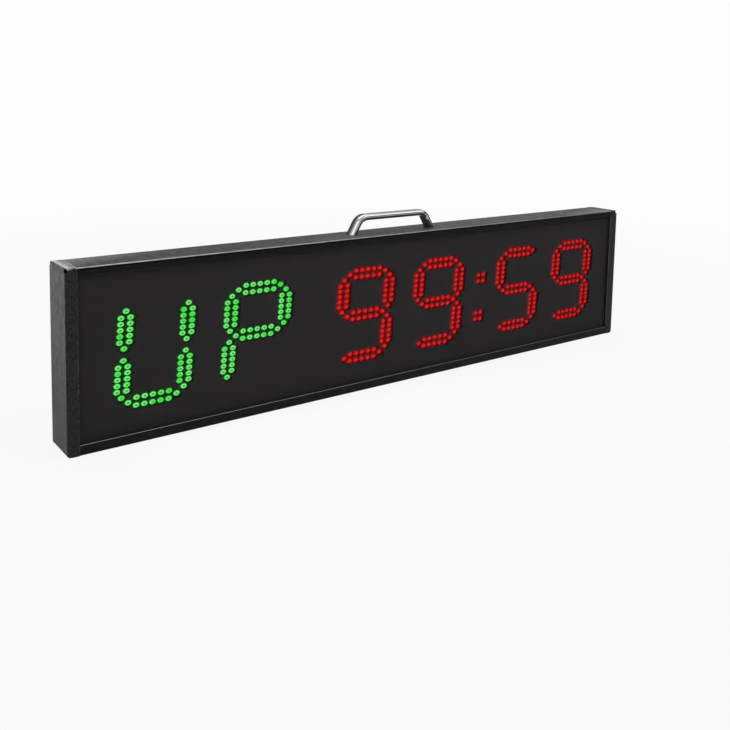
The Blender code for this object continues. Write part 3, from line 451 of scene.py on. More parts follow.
def verts_of(items):
    return [item for item in items if isinstance(item, bmesh.types.BMVert)]


def faces_of(items):
    return [item for item in items if isinstance(item, bmesh.types.BMFace)]


def all_of(bm):
    return bm.verts[:] + bm.edges[:] + bm.faces[:]


def open_edges(bm):
    return [edge for edge in bm.edges if edge.is_boundary]


def ring_edges(verts):
    """The edges between corners of one ring."""
    verts = set(verts)
    return list({edge for vert in verts for edge in vert.link_edges if edge.other_vert(vert) in verts})


def is_sharp(edge):
    """True where two faces meet at more than about 57 degrees."""
    return edge.calc_face_angle(0.0) > 1.0


# %% Copy and soften
def copy_of(node):
    """A CAD node's mesh with its loose triangles merged into whole flat faces."""
    bm = bmesh.new()
    bm.from_mesh(nodes[node].data)
    bmesh.ops.remove_doubles(bm, verts=bm.verts[:], dist=0.002 * MM)
    bmesh.ops.dissolve_limit(bm, angle_limit=math.radians(0.5), verts=bm.verts[:], edges=bm.edges[:])
    bm.normal_update()
    return bm


def soften(bm, edges, radius, segments=3, mark=1.0):
    """Rounds edges and marks the middle of each new bend with the bend attribute."""
    bend_layer = bm.verts.layers.float.get("bend") or bm.verts.layers.float.new("bend")
    count = len(edges)
    made = bmesh.ops.bevel(bm, geom=edges, offset=radius, segments=segments, profile=0.5,
                           affect="EDGES", material=-1, clamp_overlap=True)
    bend_faces = set(made["faces"])
    for vert in made["verts"]:
        inside = sum(face in bend_faces for face in vert.link_faces)
        if inside > 0.55 * len(vert.link_faces):
            vert[bend_layer] = mark
    bm.normal_update()
    print("  rounded %d edges" % count)


# %% Grow rings
def grow_rings(bm, rim, radius, rings):
    """Extrudes a round rim about the Z axis through (radius, level) rings and closes the end."""
    for next_radius, level in rings:
        rim = verts_of(bmesh.ops.extrude_edge_only(bm, edges=ring_edges(rim))["geom"])
        bmesh.ops.scale(bm, vec=(next_radius / radius, next_radius / radius, 1.0), verts=rim)
        for vert in rim:
            vert.co.z = level
        radius = next_radius
    bmesh.ops.holes_fill(bm, edges=ring_edges(rim), sides=0)


def in_metres(rings):
    return [(radius * MM, level * MM) for radius, level in rings]


def turned(rings, segments):
    """A closed turned shape round the Z axis, through (radius, level) rings in millimetres."""
    bm = bmesh.new()
    (radius, level), *others = in_metres(rings)
    rim = bmesh.ops.create_circle(bm, cap_ends=True, segments=segments, radius=radius)["verts"]
    bmesh.ops.translate(bm, vec=(0.0, 0.0, level), verts=rim)
    grow_rings(bm, rim, radius, others)
    return bm


BACKWARDS, DOWNWARDS = Vector((0.0, 1.0, 0.0)), Vector((0.0, 0.0, -1.0))


def stand(bm, place, towards, turn=0.0):
    """Turns a shape made round the Z axis towards another direction and moves it to its place."""
    aim = towards.to_track_quat("Z", "Y").to_matrix().to_4x4()
    matrix = Matrix.Translation(place) @ aim @ Matrix.Rotation(turn, 4, "Z")
    bmesh.ops.transform(bm, matrix=matrix, verts=bm.verts[:])
    return bm


# %% [markdown]
# ## The case
# The rails are extrusions, and the end caps are folded sheet that overlaps them. In the photograph a
# thin bright line runs along the upper front edge and along the left cap's rim, and the line fades
# towards the right. The rails' sharp CAD edges are rounded with a bevel here, while the caps already
# have their bends. The bends are marked, so that the coat looks rubbed on them and carries a painted
# highlight that fades towards the right. A line of painted shade runs just below the upper front
# bend. Cuts across the flat faces give the marks corners to end at.

# %% Cuts and fades
BEND = 1.2 * MM
HOLD = 0.3 * MM


def cut_across(bm, place, normal):
    bmesh.ops.bisect_plane(bm, geom=all_of(bm), plane_co=place, plane_no=normal)
    bm.normal_update()


def cut_at_x(bm, x):
    cut_across(bm, (x, 0.0, 0.0), (1.0, 0.0, 0.0))


def cut_at_z(bm, z):
    cut_across(bm, (0.0, 0.0, z), (0.0, 0.0, 1.0))


def hold_flat(bm, low, high):
    """Cuts close beside the front and back bends, so that the flat faces shade flat."""
    for y in (low.y + BEND + HOLD, high.y - BEND - HOLD):
        cut_across(bm, (0.0, y, 0.0), (0.0, 1.0, 0.0))


def fade(x, at_left, at_right):
    """A value that changes evenly from the left end of the case to the right end."""
    return at_left + (at_right - at_left) * (x - cad_low.x) / (cad_high.x - cad_low.x)


# Millimetres below the top of the case
CREASE_CUTS = (1.0, 1.25, 2.5, 2.9)
CREASE_TOP, CREASE_FOOT = 1.1, 2.6


def paint_crease_shade(bm, top_z):
    """Paints shade as a dark line just below the upper front bend, fading towards the right."""
    crease_shade_layer = bm.verts.layers.float.new("crease")
    for drop in CREASE_CUTS:
        cut_at_z(bm, top_z - drop * MM)
    for vert in bm.verts:
        on_front = vert.co.y < cad_low.y + 1.3 * MM
        if on_front and CREASE_TOP < (top_z - vert.co.z) / MM < CREASE_FOOT:
            vert[crease_shade_layer] = fade(vert.co.x, 1.0, 0.5)


# %% Rails
def runs_along_x(edge):
    return abs(edge.verts[0].co.x - edge.verts[1].co.x) > 0.3


def front_and_back(bm, outside_z):
    """The long edges at the front and at the back of a rail's outer face."""
    long_edges = [edge for edge in bm.edges if runs_along_x(edge) and is_sharp(edge)
                  and all(abs(vert.co.z - outside_z) < TOUCH for vert in edge.verts)
                  and abs(abs(edge.verts[0].co.y) - cad_high.y) < TOUCH]
    return [[edge for edge in long_edges if edge.verts[0].co.y * side > 0.0] for side in (-1.0, 1.0)]


# Millimetres from the middle of the case
RAIL_CUTS = (-426.3, -300.0, -150.0, 0.0, 150.0, 300.0, 426.3)
for name, is_top in (("top_rail", True), ("bottom_rail", False)):
    low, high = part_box(name)
    outside_z, inward = (high.z, -1.0) if is_top else (low.z, 1.0)
    rail = copy_of(name)
    front, back = front_and_back(rail, outside_z)
    # The bend marks are worn paint and a painted highlight, strongest on the top rail's front bend and on the
    # bottom rail's lip rim.
    soften(rail, front, BEND, 4, 1.0 if is_top else 0.1)
    soften(rail, back, BEND, 3, 0.3)
    lip_rims = [edge for edge in rail.edges if runs_along_x(edge) and is_sharp(edge)
                and edge.verts[0].co.y < low.y + TOUCH
                and abs(edge.verts[0].co.z - outside_z) > 3.0 * MM]
    soften(rail, lip_rims, 0.5 * MM, 4, 0.05 if is_top else 0.9)
    hold_flat(rail, low, high)
    cut_at_z(rail, outside_z + inward * (BEND + HOLD))
    for x in RAIL_CUTS:
        cut_at_x(rail, x * MM)
    # The painted highlight on the bends fades to about a third towards the right end.
    bend_layer = rail.verts.layers.float["bend"]
    for vert in rail.verts:
        vert[bend_layer] *= fade(vert.co.x, 1.0, 0.35)
    if is_top:
        paint_crease_shade(rail, high.z)
    # The paler tone is dust and painted light: most on the top face's middle, and a little on the bottom face,
    # more towards the right.
    dust_and_light_layer = rail.verts.layers.float.new("pale")
    for vert in rail.verts:
        if is_top and vert.co.z > high.z - TOUCH:
            vert[dust_and_light_layer] = 0.42 + 0.18 * (1.0 - abs(vert.co.x) / cad_high.x)
        elif not is_top:
            vert[dust_and_light_layer] = fade(vert.co.x, 0.015, 0.05)
    finish_piece(name + "_folded", rail, rail_coat, stands_for=(name,))

# %% End caps
# In millimetres: cuts in from a cap's rim, how far its top bend reaches down, and where its corner
# notches have their inner edges.
CAP_CUTS = (0.8, 1.6, 11.4)
BEND_FOOT = 1.3
NOTCH_INNER, NOTCH_OUTER, NOTCH_SIDE = 436.0, 437.2, 22.0
for name, inward, light_share in (("end_cap_left", 1.0, 1.0), ("end_cap_right", -1.0, 0.15)):
    cap = copy_of(name)
    low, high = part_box(name)
    rim_x, end_x = (high.x, low.x) if inward > 0.0 else (low.x, high.x)
    hold_flat(cap, low, high)
    for reach in CAP_CUTS:
        cut_at_x(cap, rim_x - inward * reach * MM)
    for z in (1.5 * MM, high.z - 5.0 * MM):
        cut_at_z(cap, z)
    bend_layer = cap.verts.layers.float.new("bend")
    paint_crease_shade(cap, high.z)
    dust_and_light_layer = cap.verts.layers.float.new("pale")
    # Painted highlights on the bend marks: a glint at each corner notch and a bright line along the top of the
    # rim, full on the left cap and weak on the right.
    for vert in cap.verts:
        if (high.z - vert.co.z) / MM < BEND_FOOT:
            across, deep = abs(vert.co.x) / MM, abs(vert.co.y) / MM
            if NOTCH_INNER < across < NOTCH_OUTER and deep > NOTCH_SIDE:
                vert[bend_layer] = light_share
            elif abs(vert.co.x - rim_x) < 0.9 * MM:
                vert[bend_layer] = 0.7 * light_share
        # The paler tone: dust and painted light on the top flange, painted light on the end face, lighter towards
        # its top, and a painted highlight on the rim's front edge.
        if vert.co.z > high.z - TOUCH:
            vert[dust_and_light_layer] = 0.6 * light_share
        elif abs(vert.co.x - end_x) < TOUCH:
            vert[dust_and_light_layer] = 0.05 + 0.2 * vert.co.z / high.z
        elif abs(vert.co.x - rim_x) < 0.1 * MM and vert.co.y < low.y + 1.0 * MM:
            vert[dust_and_light_layer] = 0.2
    finish_piece(name + "_folded", cap, powder_coat, stands_for=(name,))

# %% [markdown]
# ## Sheets and seals
# The rear sheet is a plain rectangle set into the back of the case, so its CAD shape is right and it
# only needs a finish. The front sheet follows with the lamps. A strip of foam closes the gap between
# each end cap's flange and the front sheet. It is a block with softened edges.

# %% Rear sheet
paint(powder_coat, "rear_panel")
print("rear sheet painted")


# %% Foam strips
def block(low, high):
    """A block between two corners."""
    bm = bmesh.new()
    bmesh.ops.create_cube(bm, size=1.0)
    low, high = Vector(low), Vector(high)
    bmesh.ops.scale(bm, vec=high - low, verts=bm.verts[:])
    bmesh.ops.translate(bm, vec=(low + high) / 2, verts=bm.verts[:])
    return bm


filter_low, filter_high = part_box("front_filter")
FOAM_SIDES = (427.2 * MM, 435.0 * MM)
FOAM_FRONT = cad_low.y + 0.95 * MM
FOAM_BACK = filter_low.y - 0.02 * MM
FOAM_FOOT, FOAM_TOP = 13.2 * MM, 190.0 * MM
for name, side in (("left", -1.0), ("right", 1.0)):
    near_x, far_x = sorted(side * x for x in FOAM_SIDES)
    foam = block((near_x, FOAM_FRONT, FOAM_FOOT), (far_x, FOAM_BACK, FOAM_TOP))
    soften(foam, foam.edges[:], 0.3 * MM, 2, 0.0)
    finish_piece("foam_strip_" + name, foam, foam_with_painted_light)

# %% [markdown]
# ## The carry handle
# The handle is one crowned bar, bent at both ends. A bar with one section all the way is best made by
# moving its section. It starts at the left end of the top, is extruded across, spun round the right
# bend and extruded down the leg, and a copy of it goes the same way on the left. One cut levels both
# feet.

# %% Bar section
handle_low, handle_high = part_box("carry_handle")
BAR_HALF_DEPTH = 8.0 * MM
BAR_FLAT_HALF = 6.0 * MM
BAR_THICKNESS = 8.0 * MM
BAR_EDGE = 3.8 * MM
CROWN_POWER = 0.77
INNER_HALF = 44.0 * MM
INNER_RADIUS = 12.0 * MM
LEG_LENGTH = 40.0 * MM
BEND_ANGLE = math.radians(60.0)
underside = handle_high.z - BAR_THICKNESS


def bar_outline(across, up):
    """Moves a point of a unit circle to the bar's crown, its slanted lower edge or its flat."""
    if up >= 0.0:
        return (math.copysign(abs(across) ** CROWN_POWER, across) * BAR_HALF_DEPTH,
                BAR_EDGE + (BAR_THICKNESS - BAR_EDGE) * up ** CROWN_POWER)
    share = min(1.0, -up / math.sqrt(0.5))
    reach = BAR_HALF_DEPTH + (BAR_FLAT_HALF - BAR_HALF_DEPTH) * share
    if share < 1.0:
        return math.copysign(reach, across), BAR_EDGE * (1.0 - share)
    return across / math.sqrt(0.5) * BAR_FLAT_HALF, 0.0


handle = bmesh.new()
section = bmesh.ops.create_circle(handle, cap_ends=True, segments=48, radius=1.0)["verts"]
for vert in section:
    reach, height = bar_outline(vert.co.x, vert.co.y)
    vert.co = Vector((-INNER_HALF, reach, underside + height))
profile = handle.faces[:]
print("section corners:", len(section))


# %% Sweep the bar
def push(bm, start, offset):
    """Extrudes a face along an offset, and leaves the wall that it draws."""
    made = bmesh.ops.extrude_face_region(bm, geom=start)["geom"]
    bmesh.ops.translate(bm, verts=verts_of(made), vec=offset)
    bmesh.ops.delete(bm, geom=start, context="FACES_ONLY")
    return faces_of(made)


def bend_down(bm, start, x, angle):
    """Spins a face about the Y axis round a bend's centre, and leaves the wall that it draws."""
    made = bmesh.ops.spin(bm, geom=start, cent=(x, 0.0, underside - INNER_RADIUS), axis=(0.0, 1.0, 0.0),
                          angle=angle, steps=12, use_duplicate=False)["geom_last"]
    bmesh.ops.delete(bm, geom=start, context="FACES_ONLY")
    return faces_of(made)


leg_way = Vector((math.cos(BEND_ANGLE), 0.0, -math.sin(BEND_ANGLE))) * LEG_LENGTH
left_start = faces_of(bmesh.ops.duplicate(handle, geom=all_of(handle))["geom"])
across_end = push(handle, profile, Vector((2.0 * INNER_HALF, 0.0, 0.0)))
push(handle, bend_down(handle, across_end, INNER_HALF, BEND_ANGLE), leg_way)
left_end = bend_down(handle, left_start, -INNER_HALF, -BEND_ANGLE)
push(handle, left_end, Vector((-leg_way.x, 0.0, leg_way.z)))
bmesh.ops.remove_doubles(handle, verts=handle.verts[:], dist=TOUCH)
bmesh.ops.bisect_plane(handle, geom=all_of(handle), plane_co=handle_low, plane_no=DOWNWARDS,
                       clear_outer=True)
bmesh.ops.holes_fill(handle, edges=open_edges(handle), sides=0)
finish_piece("carry_handle_bar", handle, handle_metal, stands_for=("carry_handle",),
             sharp=38.0)

# %% [markdown]
# ## The digits
# Each digit is 84 lamps in seven segments, and each segment is two rows of five with one lamp at
# each end. The lamps of a digit lean a little to the right. One lamp is spun from its profile, and
# then copied to every place, because hundreds of equal small shapes should share one plain form.

# %% Lamp places, in millimetres
DIGIT_HALF_WIDTH = 36.3
DIGIT_HALF_HEIGHT = 54.0
DIGIT_HEIGHT_ABOVE_BASE = 98.0
LEAN = math.tan(math.radians(3.9))
DIGIT_CENTRES = (-339.5, -212.5, -54.0, 70.0, 224.0, 342.0)
COLON_CENTRE = 149.0
COLON_HEIGHTS = (24.0, -30.5)
BAR_STEP, BAR_HALF_GAP, BAR_TIP = 9.45, 4.35, 28.2
COLUMN_STEP, COLUMN_HALF_GAP, COLUMN_TIP = 6.7, 5.4, 20.5


def segment_places(segment):
    """The twelve lamps of one segment, about the middle of its digit."""
    if segment in "ADG":
        row = {"A": DIGIT_HALF_HEIGHT, "G": 0.0, "D": -DIGIT_HALF_HEIGHT}[segment]
        pairs = [(step * BAR_STEP, row + side * BAR_HALF_GAP) for step in range(-2, 3)
                 for side in (-1, 1)]
        return pairs + [(-BAR_TIP, row), (BAR_TIP, row)]
    column = DIGIT_HALF_WIDTH if segment in "BC" else -DIGIT_HALF_WIDTH
    middle = DIGIT_HALF_HEIGHT / 2 if segment in "BF" else -DIGIT_HALF_HEIGHT / 2
    pairs = [(column + side * COLUMN_HALF_GAP, middle + step * COLUMN_STEP) for step in range(-2, 3)
             for side in (-1, 1)]
    return pairs + [(column, middle - COLUMN_TIP), (column, middle + COLUMN_TIP)]


def leaning(x, z, centre_x):
    return (centre_x + x + LEAN * z) * MM, (DIGIT_HEIGHT_ABOVE_BASE + z) * MM


def digit_places(segments, centre_x):
    return [leaning(x, z, centre_x) for segment in segments for x, z in segment_places(segment)]


LIT_SEGMENTS = ("BCDEF", "ABEFG", "ABCDFG", "ABCDFG", "ACDFG", "ABCDFG")
colon_places = [leaning(side_x * 4.9, middle + side_z * 4.35, COLON_CENTRE)
                for middle in COLON_HEIGHTS for side_x in (-1, 1) for side_z in (-1, 1)]
print("lit lamps:", sum(12 * len(lit) for lit in LIT_SEGMENTS) + len(colon_places))

# %% One lamp
LAMP_HALF_WIDTH = 3.9 * MM
LAMP_HALF_HEIGHT = 3.05 * MM
LAMP_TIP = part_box("lamps_digit_1")[0].y
HOUSING_FRONT = LAMP_TIP + 1.9 * MM
# Each row is a radius in lamp sizes, a depth behind the tip in millimetres and a station.
LAMP_PROFILE = ((0.0, 0.0, 0.0), (0.42, 0.15, 0.25), (0.75, 0.45, 0.5), (1.0, 1.1, 0.7),
                (1.0, 1.75, 0.82), (1.09, 1.85, 0.9), (1.09, 2.1, 1.0))

pattern = bmesh.new()
station = pattern.verts.layers.float.new("station")
line = []
for radius, depth, share in LAMP_PROFILE:
    vert = pattern.verts.new((radius, LAMP_TIP + depth * MM, 0.0))
    vert[station] = share
    line.append(vert)
edges = [pattern.edges.new(pair) for pair in zip(line, line[1:])]
bmesh.ops.spin(pattern, geom=line + edges, cent=(0.0, 0.0, 0.0), axis=(0.0, 1.0, 0.0),
               angle=2 * math.pi, steps=10, use_merge=True, use_duplicate=False)
bmesh.ops.remove_doubles(pattern, verts=pattern.verts[:], dist=TOUCH)
bmesh.ops.scale(pattern, vec=(LAMP_HALF_WIDTH, 1.0, LAMP_HALF_HEIGHT), verts=pattern.verts[:])
bmesh.ops.holes_fill(pattern, edges=open_edges(pattern), sides=0)
bmesh.ops.recalc_face_normals(pattern, faces=pattern.faces[:])
lamp_mesh = mesh_of("lamp_pattern", pattern)
print("one lamp has", len(lamp_mesh.polygons), "faces")


# %% Copy the lamp to its places
def lamp_group(name, places, material):
    bm = bmesh.new()
    for x, z in places:
        start = len(bm.verts)
        bm.from_mesh(lamp_mesh)
        bm.verts.ensure_lookup_table()
        bmesh.ops.translate(bm, verts=bm.verts[start:], vec=(x, 0.0, z))
    finish_piece(name, bm, material)


GREEN_DIGITS = (1, 2)
lamp_sets = []
for number, (centre_x, lit) in enumerate(zip(DIGIT_CENTRES, LIT_SEGMENTS), start=1):
    is_green = number in GREEN_DIGITS
    glow, slot = (green_glow, "green_lamps") if is_green else (red_glow, "red_lamps")
    dark = [segment for segment in "ABCDEFG" if segment not in lit]
    lit_places = digit_places(lit, centre_x)
    lamp_group("digit_%d_lit" % number, lit_places, glow)
    lamp_group("digit_%d_unlit" % number, digit_places(dark, centre_x), unlit_resin)
    lamp_sets.append(("lamps_digit_%d" % number, lit_places, is_green))

# %% [markdown]
# ## Lamp housings and front sheet
# Behind the lamps each digit has a black moulded housing on the circuit board, and in front of them
# stands the smoked sheet. Both are grids of small squares, because a value is painted on their corners
# that falls with the distance to the nearest lit lamp: the spilled light on the housings, and the
# dark rims in the smoked print. Each grid is extruded to make a closed block, whose other side is
# one plain face.

# %% Painted grids
def painted_grid(low, high, cell, layer_name, lit_places, full, gone, on_back=False):
    """A block with one gridded side, front or back. The value painted there is one up to the
    distance full from a lit lamp and nothing beyond gone. Distances are in lamp sizes from a lamp's
    middle."""
    bm = bmesh.new()
    layer = bm.verts.layers.float.new(layer_name)
    painted_y, plain_y = (high.y, low.y) if on_back else (low.y, high.y)
    bmesh.ops.create_grid(bm, x_segments=round((high.x - low.x) / cell),
                          y_segments=round((high.z - low.z) / cell), size=0.5)
    bmesh.ops.rotate(bm, matrix=Matrix.Rotation(math.radians(90.0), 3, "X"), verts=bm.verts[:])
    bmesh.ops.scale(bm, vec=(high.x - low.x, 1.0, high.z - low.z), verts=bm.verts[:])
    bmesh.ops.translate(bm, vec=((low.x + high.x) / 2, painted_y, (low.z + high.z) / 2),
                        verts=bm.verts[:])
    nearest = kdtree.KDTree(len(lit_places))
    for index, (x, z) in enumerate(lit_places):
        nearest.insert((x / LAMP_HALF_WIDTH, z / LAMP_HALF_HEIGHT, 0.0), index)
    nearest.balance()
    for vert in bm.verts:
        away = nearest.find((vert.co.x / LAMP_HALF_WIDTH, vert.co.z / LAMP_HALF_HEIGHT, 0.0))[2]
        vert[layer] = min(1.0, max(0.0, (gone - away) / (gone - full)))
    rim = verts_of(bmesh.ops.extrude_edge_only(bm, edges=open_edges(bm))["geom"])
    bmesh.ops.translate(bm, vec=(0.0, plain_y - painted_y, 0.0), verts=rim)
    bmesh.ops.holes_fill(bm, edges=ring_edges(rim), sides=0)
    bmesh.ops.recalc_face_normals(bm, faces=bm.faces[:])
    print("  painted grid: %d faces" % len(bm.faces))
    return bm


# %% Digit and colon housings
lamp_sets.append(("lamps_colon", colon_places, False))
for name, lit_places, is_green in lamp_sets:
    low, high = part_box(name)
    housing = painted_grid(Vector((low.x, HOUSING_FRONT, low.z)), high, 1.6 * MM, "spill",
                           lit_places, 1.5, 1.8)
    plastic, slot = (housing_green, "green_lamps") if is_green else (housing_red, "red_lamps")
    finish_piece(name + "_housing", housing, plastic, stands_for=(name,))
lamp_group("colon_lit", colon_places, red_glow)

# %% Front sheet
all_lit = [place for _, lit_places, _ in lamp_sets for place in lit_places]
sheet = painted_grid(filter_low, filter_high, 1.8 * MM, "window", all_lit, 1.3, 1.5, on_back=True)
front_sheet = finish_piece("front_filter_sheet", sheet, clear_acrylic,
                           stands_for=("front_filter",))
front_sheet.data.materials.append(smoked_print)
for face in front_sheet.data.polygons:
    face.material_index = 1 if face.normal.y > 0.9 else 0
printed = sum(face.material_index for face in front_sheet.data.polygons)
print("faces with the smoked print:", printed)

# %% [markdown]
# ## Screws
# The rear panel is held by six pan-head screws and the end caps by four countersunk ones, all with a
# cross recess. The recess starts as a grid of nine squares without its four corners, pushed down into
# the head. A bridge joins it to a round rim, and rings extruded from that rim make the head and shank.

# %% Cross-recess screw
def cross_screw(rings, recess):
    """A screw round the Z axis, through (radius, level) rings. The recess is the reach and the half
    width of its arms and its depth. All are in millimetres."""
    bm = bmesh.new()
    (radius, level), *others = in_metres(rings)
    reach, arm, depth = (size * MM for size in recess)
    grid = bmesh.ops.create_grid(bm, x_segments=3, y_segments=3, size=reach)["verts"]
    for vert in grid:
        for axis in (0, 1):
            if abs(vert.co[axis]) < 0.5 * reach:
                vert.co[axis] = math.copysign(arm, vert.co[axis])
    corners = [face for face in bm.faces
               if min(abs(face.calc_center_median()[axis]) for axis in (0, 1)) > arm]
    bmesh.ops.delete(bm, geom=corners, context="FACES")
    top = bm.faces[:]
    sunk = verts_of(bmesh.ops.extrude_face_region(bm, geom=top)["geom"])
    bmesh.ops.delete(bm, geom=top, context="FACES")
    bmesh.ops.translate(bm, vec=(0.0, 0.0, -depth), verts=sunk)
    bmesh.ops.scale(bm, vec=(0.8, 0.8, 1.0), verts=sunk)
    mouth = open_edges(bm)
    rim = bmesh.ops.create_circle(bm, cap_ends=False, segments=24, radius=radius)["verts"]
    bmesh.ops.bridge_loops(bm, edges=mouth + ring_edges(rim))
    bmesh.ops.translate(bm, vec=(0.0, 0.0, level), verts=bm.verts[:])
    grow_rings(bm, rim, radius, others)
    return bm


PAN_RINGS = ((1.35, 1.7), (2.1, 1.5), (2.55, 1.05), (2.7, 0.45), (2.7, 0.0), (1.4, 0.0), (1.4, -6.5))
FLAT_RINGS = ((2.3, 0.0), (2.62, 0.0), (2.7, -0.1), (1.4, -1.35), (1.4, -6.4))


# %% Put the screws in their places
def put_screw(name, rings, recess, towards, turn):
    """Puts a screw in place of a CAD screw, with the top of its head on the outer side."""
    low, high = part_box(name)
    outer = (low + high) / 2 + towards * abs((high - low).dot(towards)) / 2
    screw = stand(cross_screw(rings, recess), outer - towards * rings[0][1] * MM, towards, turn)
    finish_piece(name + "_cross", screw, blackened_steel, stands_for=(name,),
                 sharp=35.0)


for number in range(1, 7):
    put_screw("rear_panel_screw_%d" % number, PAN_RINGS, (1.15, 0.28, 0.9), BACKWARDS, 0.7 * number)
for number in range(1, 5):
    put_screw("end_cap_screw_%d" % number, FLAT_RINGS, (1.3, 0.3, 0.8), DOWNWARDS, 0.9 * number)

# %% [markdown]
# ## Hanger plates
# Two zinc-plated steel plates on the back have keyholes for wall screws. Their CAD shape is right,
# so a copy gets its stamped edges rounded, and each gets two domed rivet heads on its feet.

# %% Plates and rivets
RIVET_RINGS = ((2.6, -0.05), (2.6, 0.15), (2.3, 0.6), (1.6, 0.95), (0.7, 1.1))
PLATE_RAISE = 2.2 * MM
PLATE_REACH = 1.3 * MM
for name in ("hanger_plate_left", "hanger_plate_right"):
    low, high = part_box(name)
    plate = copy_of(name)
    foot_back = high.y - PLATE_RAISE
    # What lies further in than the plate's feet are the rivets' shanks, which stay as they are.
    stamped = [edge for edge in plate.edges if is_sharp(edge) and edge.calc_length() > 0.8 * MM
               and min(vert.co.y for vert in edge.verts) > foot_back - PLATE_REACH]
    soften(plate, stamped, 0.22 * MM, 2, 0.5)
    finish_piece(name + "_stamped", plate, zinc_plate, stands_for=(name,))
    for place, height in (("lower", low.z + 5.5 * MM), ("upper", high.z - 5.5 * MM)):
        rivet = turned(RIVET_RINGS, 24)
        stand(rivet, ((low.x + high.x) / 2, foot_back, height), BACKWARDS)
        finish_piece("%s_rivet_%s" % (name, place), rivet, zinc_plate)

# %% [markdown]
# ## Power inlet
# The inlet is a threaded barrel with a nut, turned from rings. The nut is a hexagon and a circle
# joined by a bridge, thickened, with its outer rims cut back.

# %% Barrel and pin
jack_low, jack_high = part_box("power_jack")
jack_place = Vector(((jack_low.x + jack_high.x) / 2, 0.0, (jack_low.z + jack_high.z) / 2))
BARREL_BODY = [(6.4, 7.5), (7.0, 8.1), (7.0, 18.9), (6.6, 19.4), (5.4, 19.4)]
BARREL_MOUTH = [(5.4, 23.75), (5.05, 24.2), (3.6, 24.2), (3.1, 23.7), (3.1, 13.7)]
thread = []
for turn in range(8):
    thread += [(5.4, 19.7 + 0.5 * turn), (5.1, 19.95 + 0.5 * turn)]
barrel = turned(BARREL_BODY + thread + BARREL_MOUTH, 32)
finish_piece("power_jack_barrel", stand(barrel, jack_place, BACKWARDS), moulded_black,
             stands_for=("power_jack",))
pin = turned(((1.05, 14.0), (1.05, 22.9), (0.9, 23.25), (0.5, 23.5)), 16)
finish_piece("power_jack_centre_pin", stand(pin, jack_place, BACKWARDS), bright_steel,
             stands_for=("power_jack_pin",))


# %% Nut
def thick_ring(bm, height):
    """Joins two loops by a bridge and thickens it. Gives the corners on its upper side."""
    faces = bmesh.ops.bridge_loops(bm, edges=bm.edges[:])["faces"]
    raised = verts_of(bmesh.ops.extrude_face_region(bm, geom=faces)["geom"])
    bmesh.ops.translate(bm, vec=(0.0, 0.0, height), verts=raised)
    return raised


nut_low, nut_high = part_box("power_jack_nut")
nut = bmesh.new()
bmesh.ops.create_circle(nut, cap_ends=False, segments=6, radius=8.6 * MM)
bmesh.ops.subdivide_edges(nut, edges=nut.edges[:], cuts=3)
bmesh.ops.create_circle(nut, cap_ends=False, segments=24, radius=5.65 * MM)
raised = thick_ring(nut, nut_high.y - nut_low.y)
outer_rim = [edge for edge in ring_edges(raised) if is_sharp(edge)
             and min(vert.co.xy.length for vert in edge.verts) > 7.0 * MM]
soften(nut, outer_rim, 0.4 * MM, 2, 0.6)
stand(nut, jack_place + BACKWARDS * nut_low.y, BACKWARDS)
finish_piece("power_jack_hex_nut", nut, bright_steel,
             stands_for=("power_jack_nut",), sharp=30.0)

# %% [markdown]
# ## Rocker switch
# The switch is a framed pocket with a rocker in it. Copies of the CAD pieces get moulded edges. The
# rocker's two marks, a stroke for on and a ring for off, are thin raised shapes that ride with it.

# %% Frame and rocker
frame_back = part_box("switch_housing")[1].y
bezel = copy_of("switch_housing")
rims = [edge for edge in bezel.edges if is_sharp(edge)
        and all(vert.co.y > frame_back - TOUCH for vert in edge.verts)]
soften(bezel, rims, 0.4 * MM)
finish_piece("switch_frame", bezel, moulded_black, stands_for=("switch_housing",))
rocker = copy_of("switch_rocker")
soften(rocker, [edge for edge in rocker.edges if is_sharp(edge)], 0.25 * MM)
finish_piece("switch_rocker_cap", rocker, moulded_black, body="rocker",
             stands_for=("switch_rocker",))

# %% Marks on the rocker
mark_white = coated("mark_white", (0.62, 0.62, 0.60), (0.68, 0.68, 0.66), (0.7, 0.7, 0.68), 0.5,
                    1800.0, 0.00002)
pivot = Vector(frame["joints"][0]["pos_m"])
REST_TILT = math.radians(11.0)
# The rocker's face is a shallow V: its middle, the rise of each half and their reach.
FACE_MIDDLE, FACE_RISE, FACE_REACH = 2.35, 1.2, 6.2
FACE_LEAN = math.atan2(FACE_RISE, FACE_REACH)
MARK_SHARE = 0.58
MARK_SUNK, MARK_PROUD = 0.05 * MM, 0.06 * MM


def on_rocker(bm, side):
    """Lays a flat mark, made round the Z axis, on the upper (1) or lower (-1) face of the rocker."""
    face = Vector((0.0, FACE_MIDDLE + FACE_RISE * MARK_SHARE, side * FACE_REACH * MARK_SHARE)) * MM
    aim = Matrix.Rotation(math.radians(-90.0) - side * FACE_LEAN, 4, "X")
    matrix = (Matrix.Translation(pivot) @ Matrix.Rotation(REST_TILT, 4, "X")
              @ Matrix.Translation(face) @ aim)
    bmesh.ops.transform(bm, matrix=matrix, verts=bm.verts[:])
    return bm


stroke = block((-0.28 * MM, -1.1 * MM, -MARK_SUNK), (0.28 * MM, 1.1 * MM, MARK_PROUD))
finish_piece("rocker_mark_on", on_rocker(stroke, 1.0), mark_white, body="rocker")
ring = bmesh.new()
for radius in (1.15, 0.75):
    bmesh.ops.create_circle(ring, cap_ends=False, segments=28, radius=radius * MM)
thick_ring(ring, MARK_SUNK + MARK_PROUD)
bmesh.ops.translate(ring, vec=(0.0, 0.0, -MARK_SUNK), verts=ring.verts[:])
finish_piece("rocker_mark_off", on_rocker(ring, -1.0), mark_white, body="rocker")

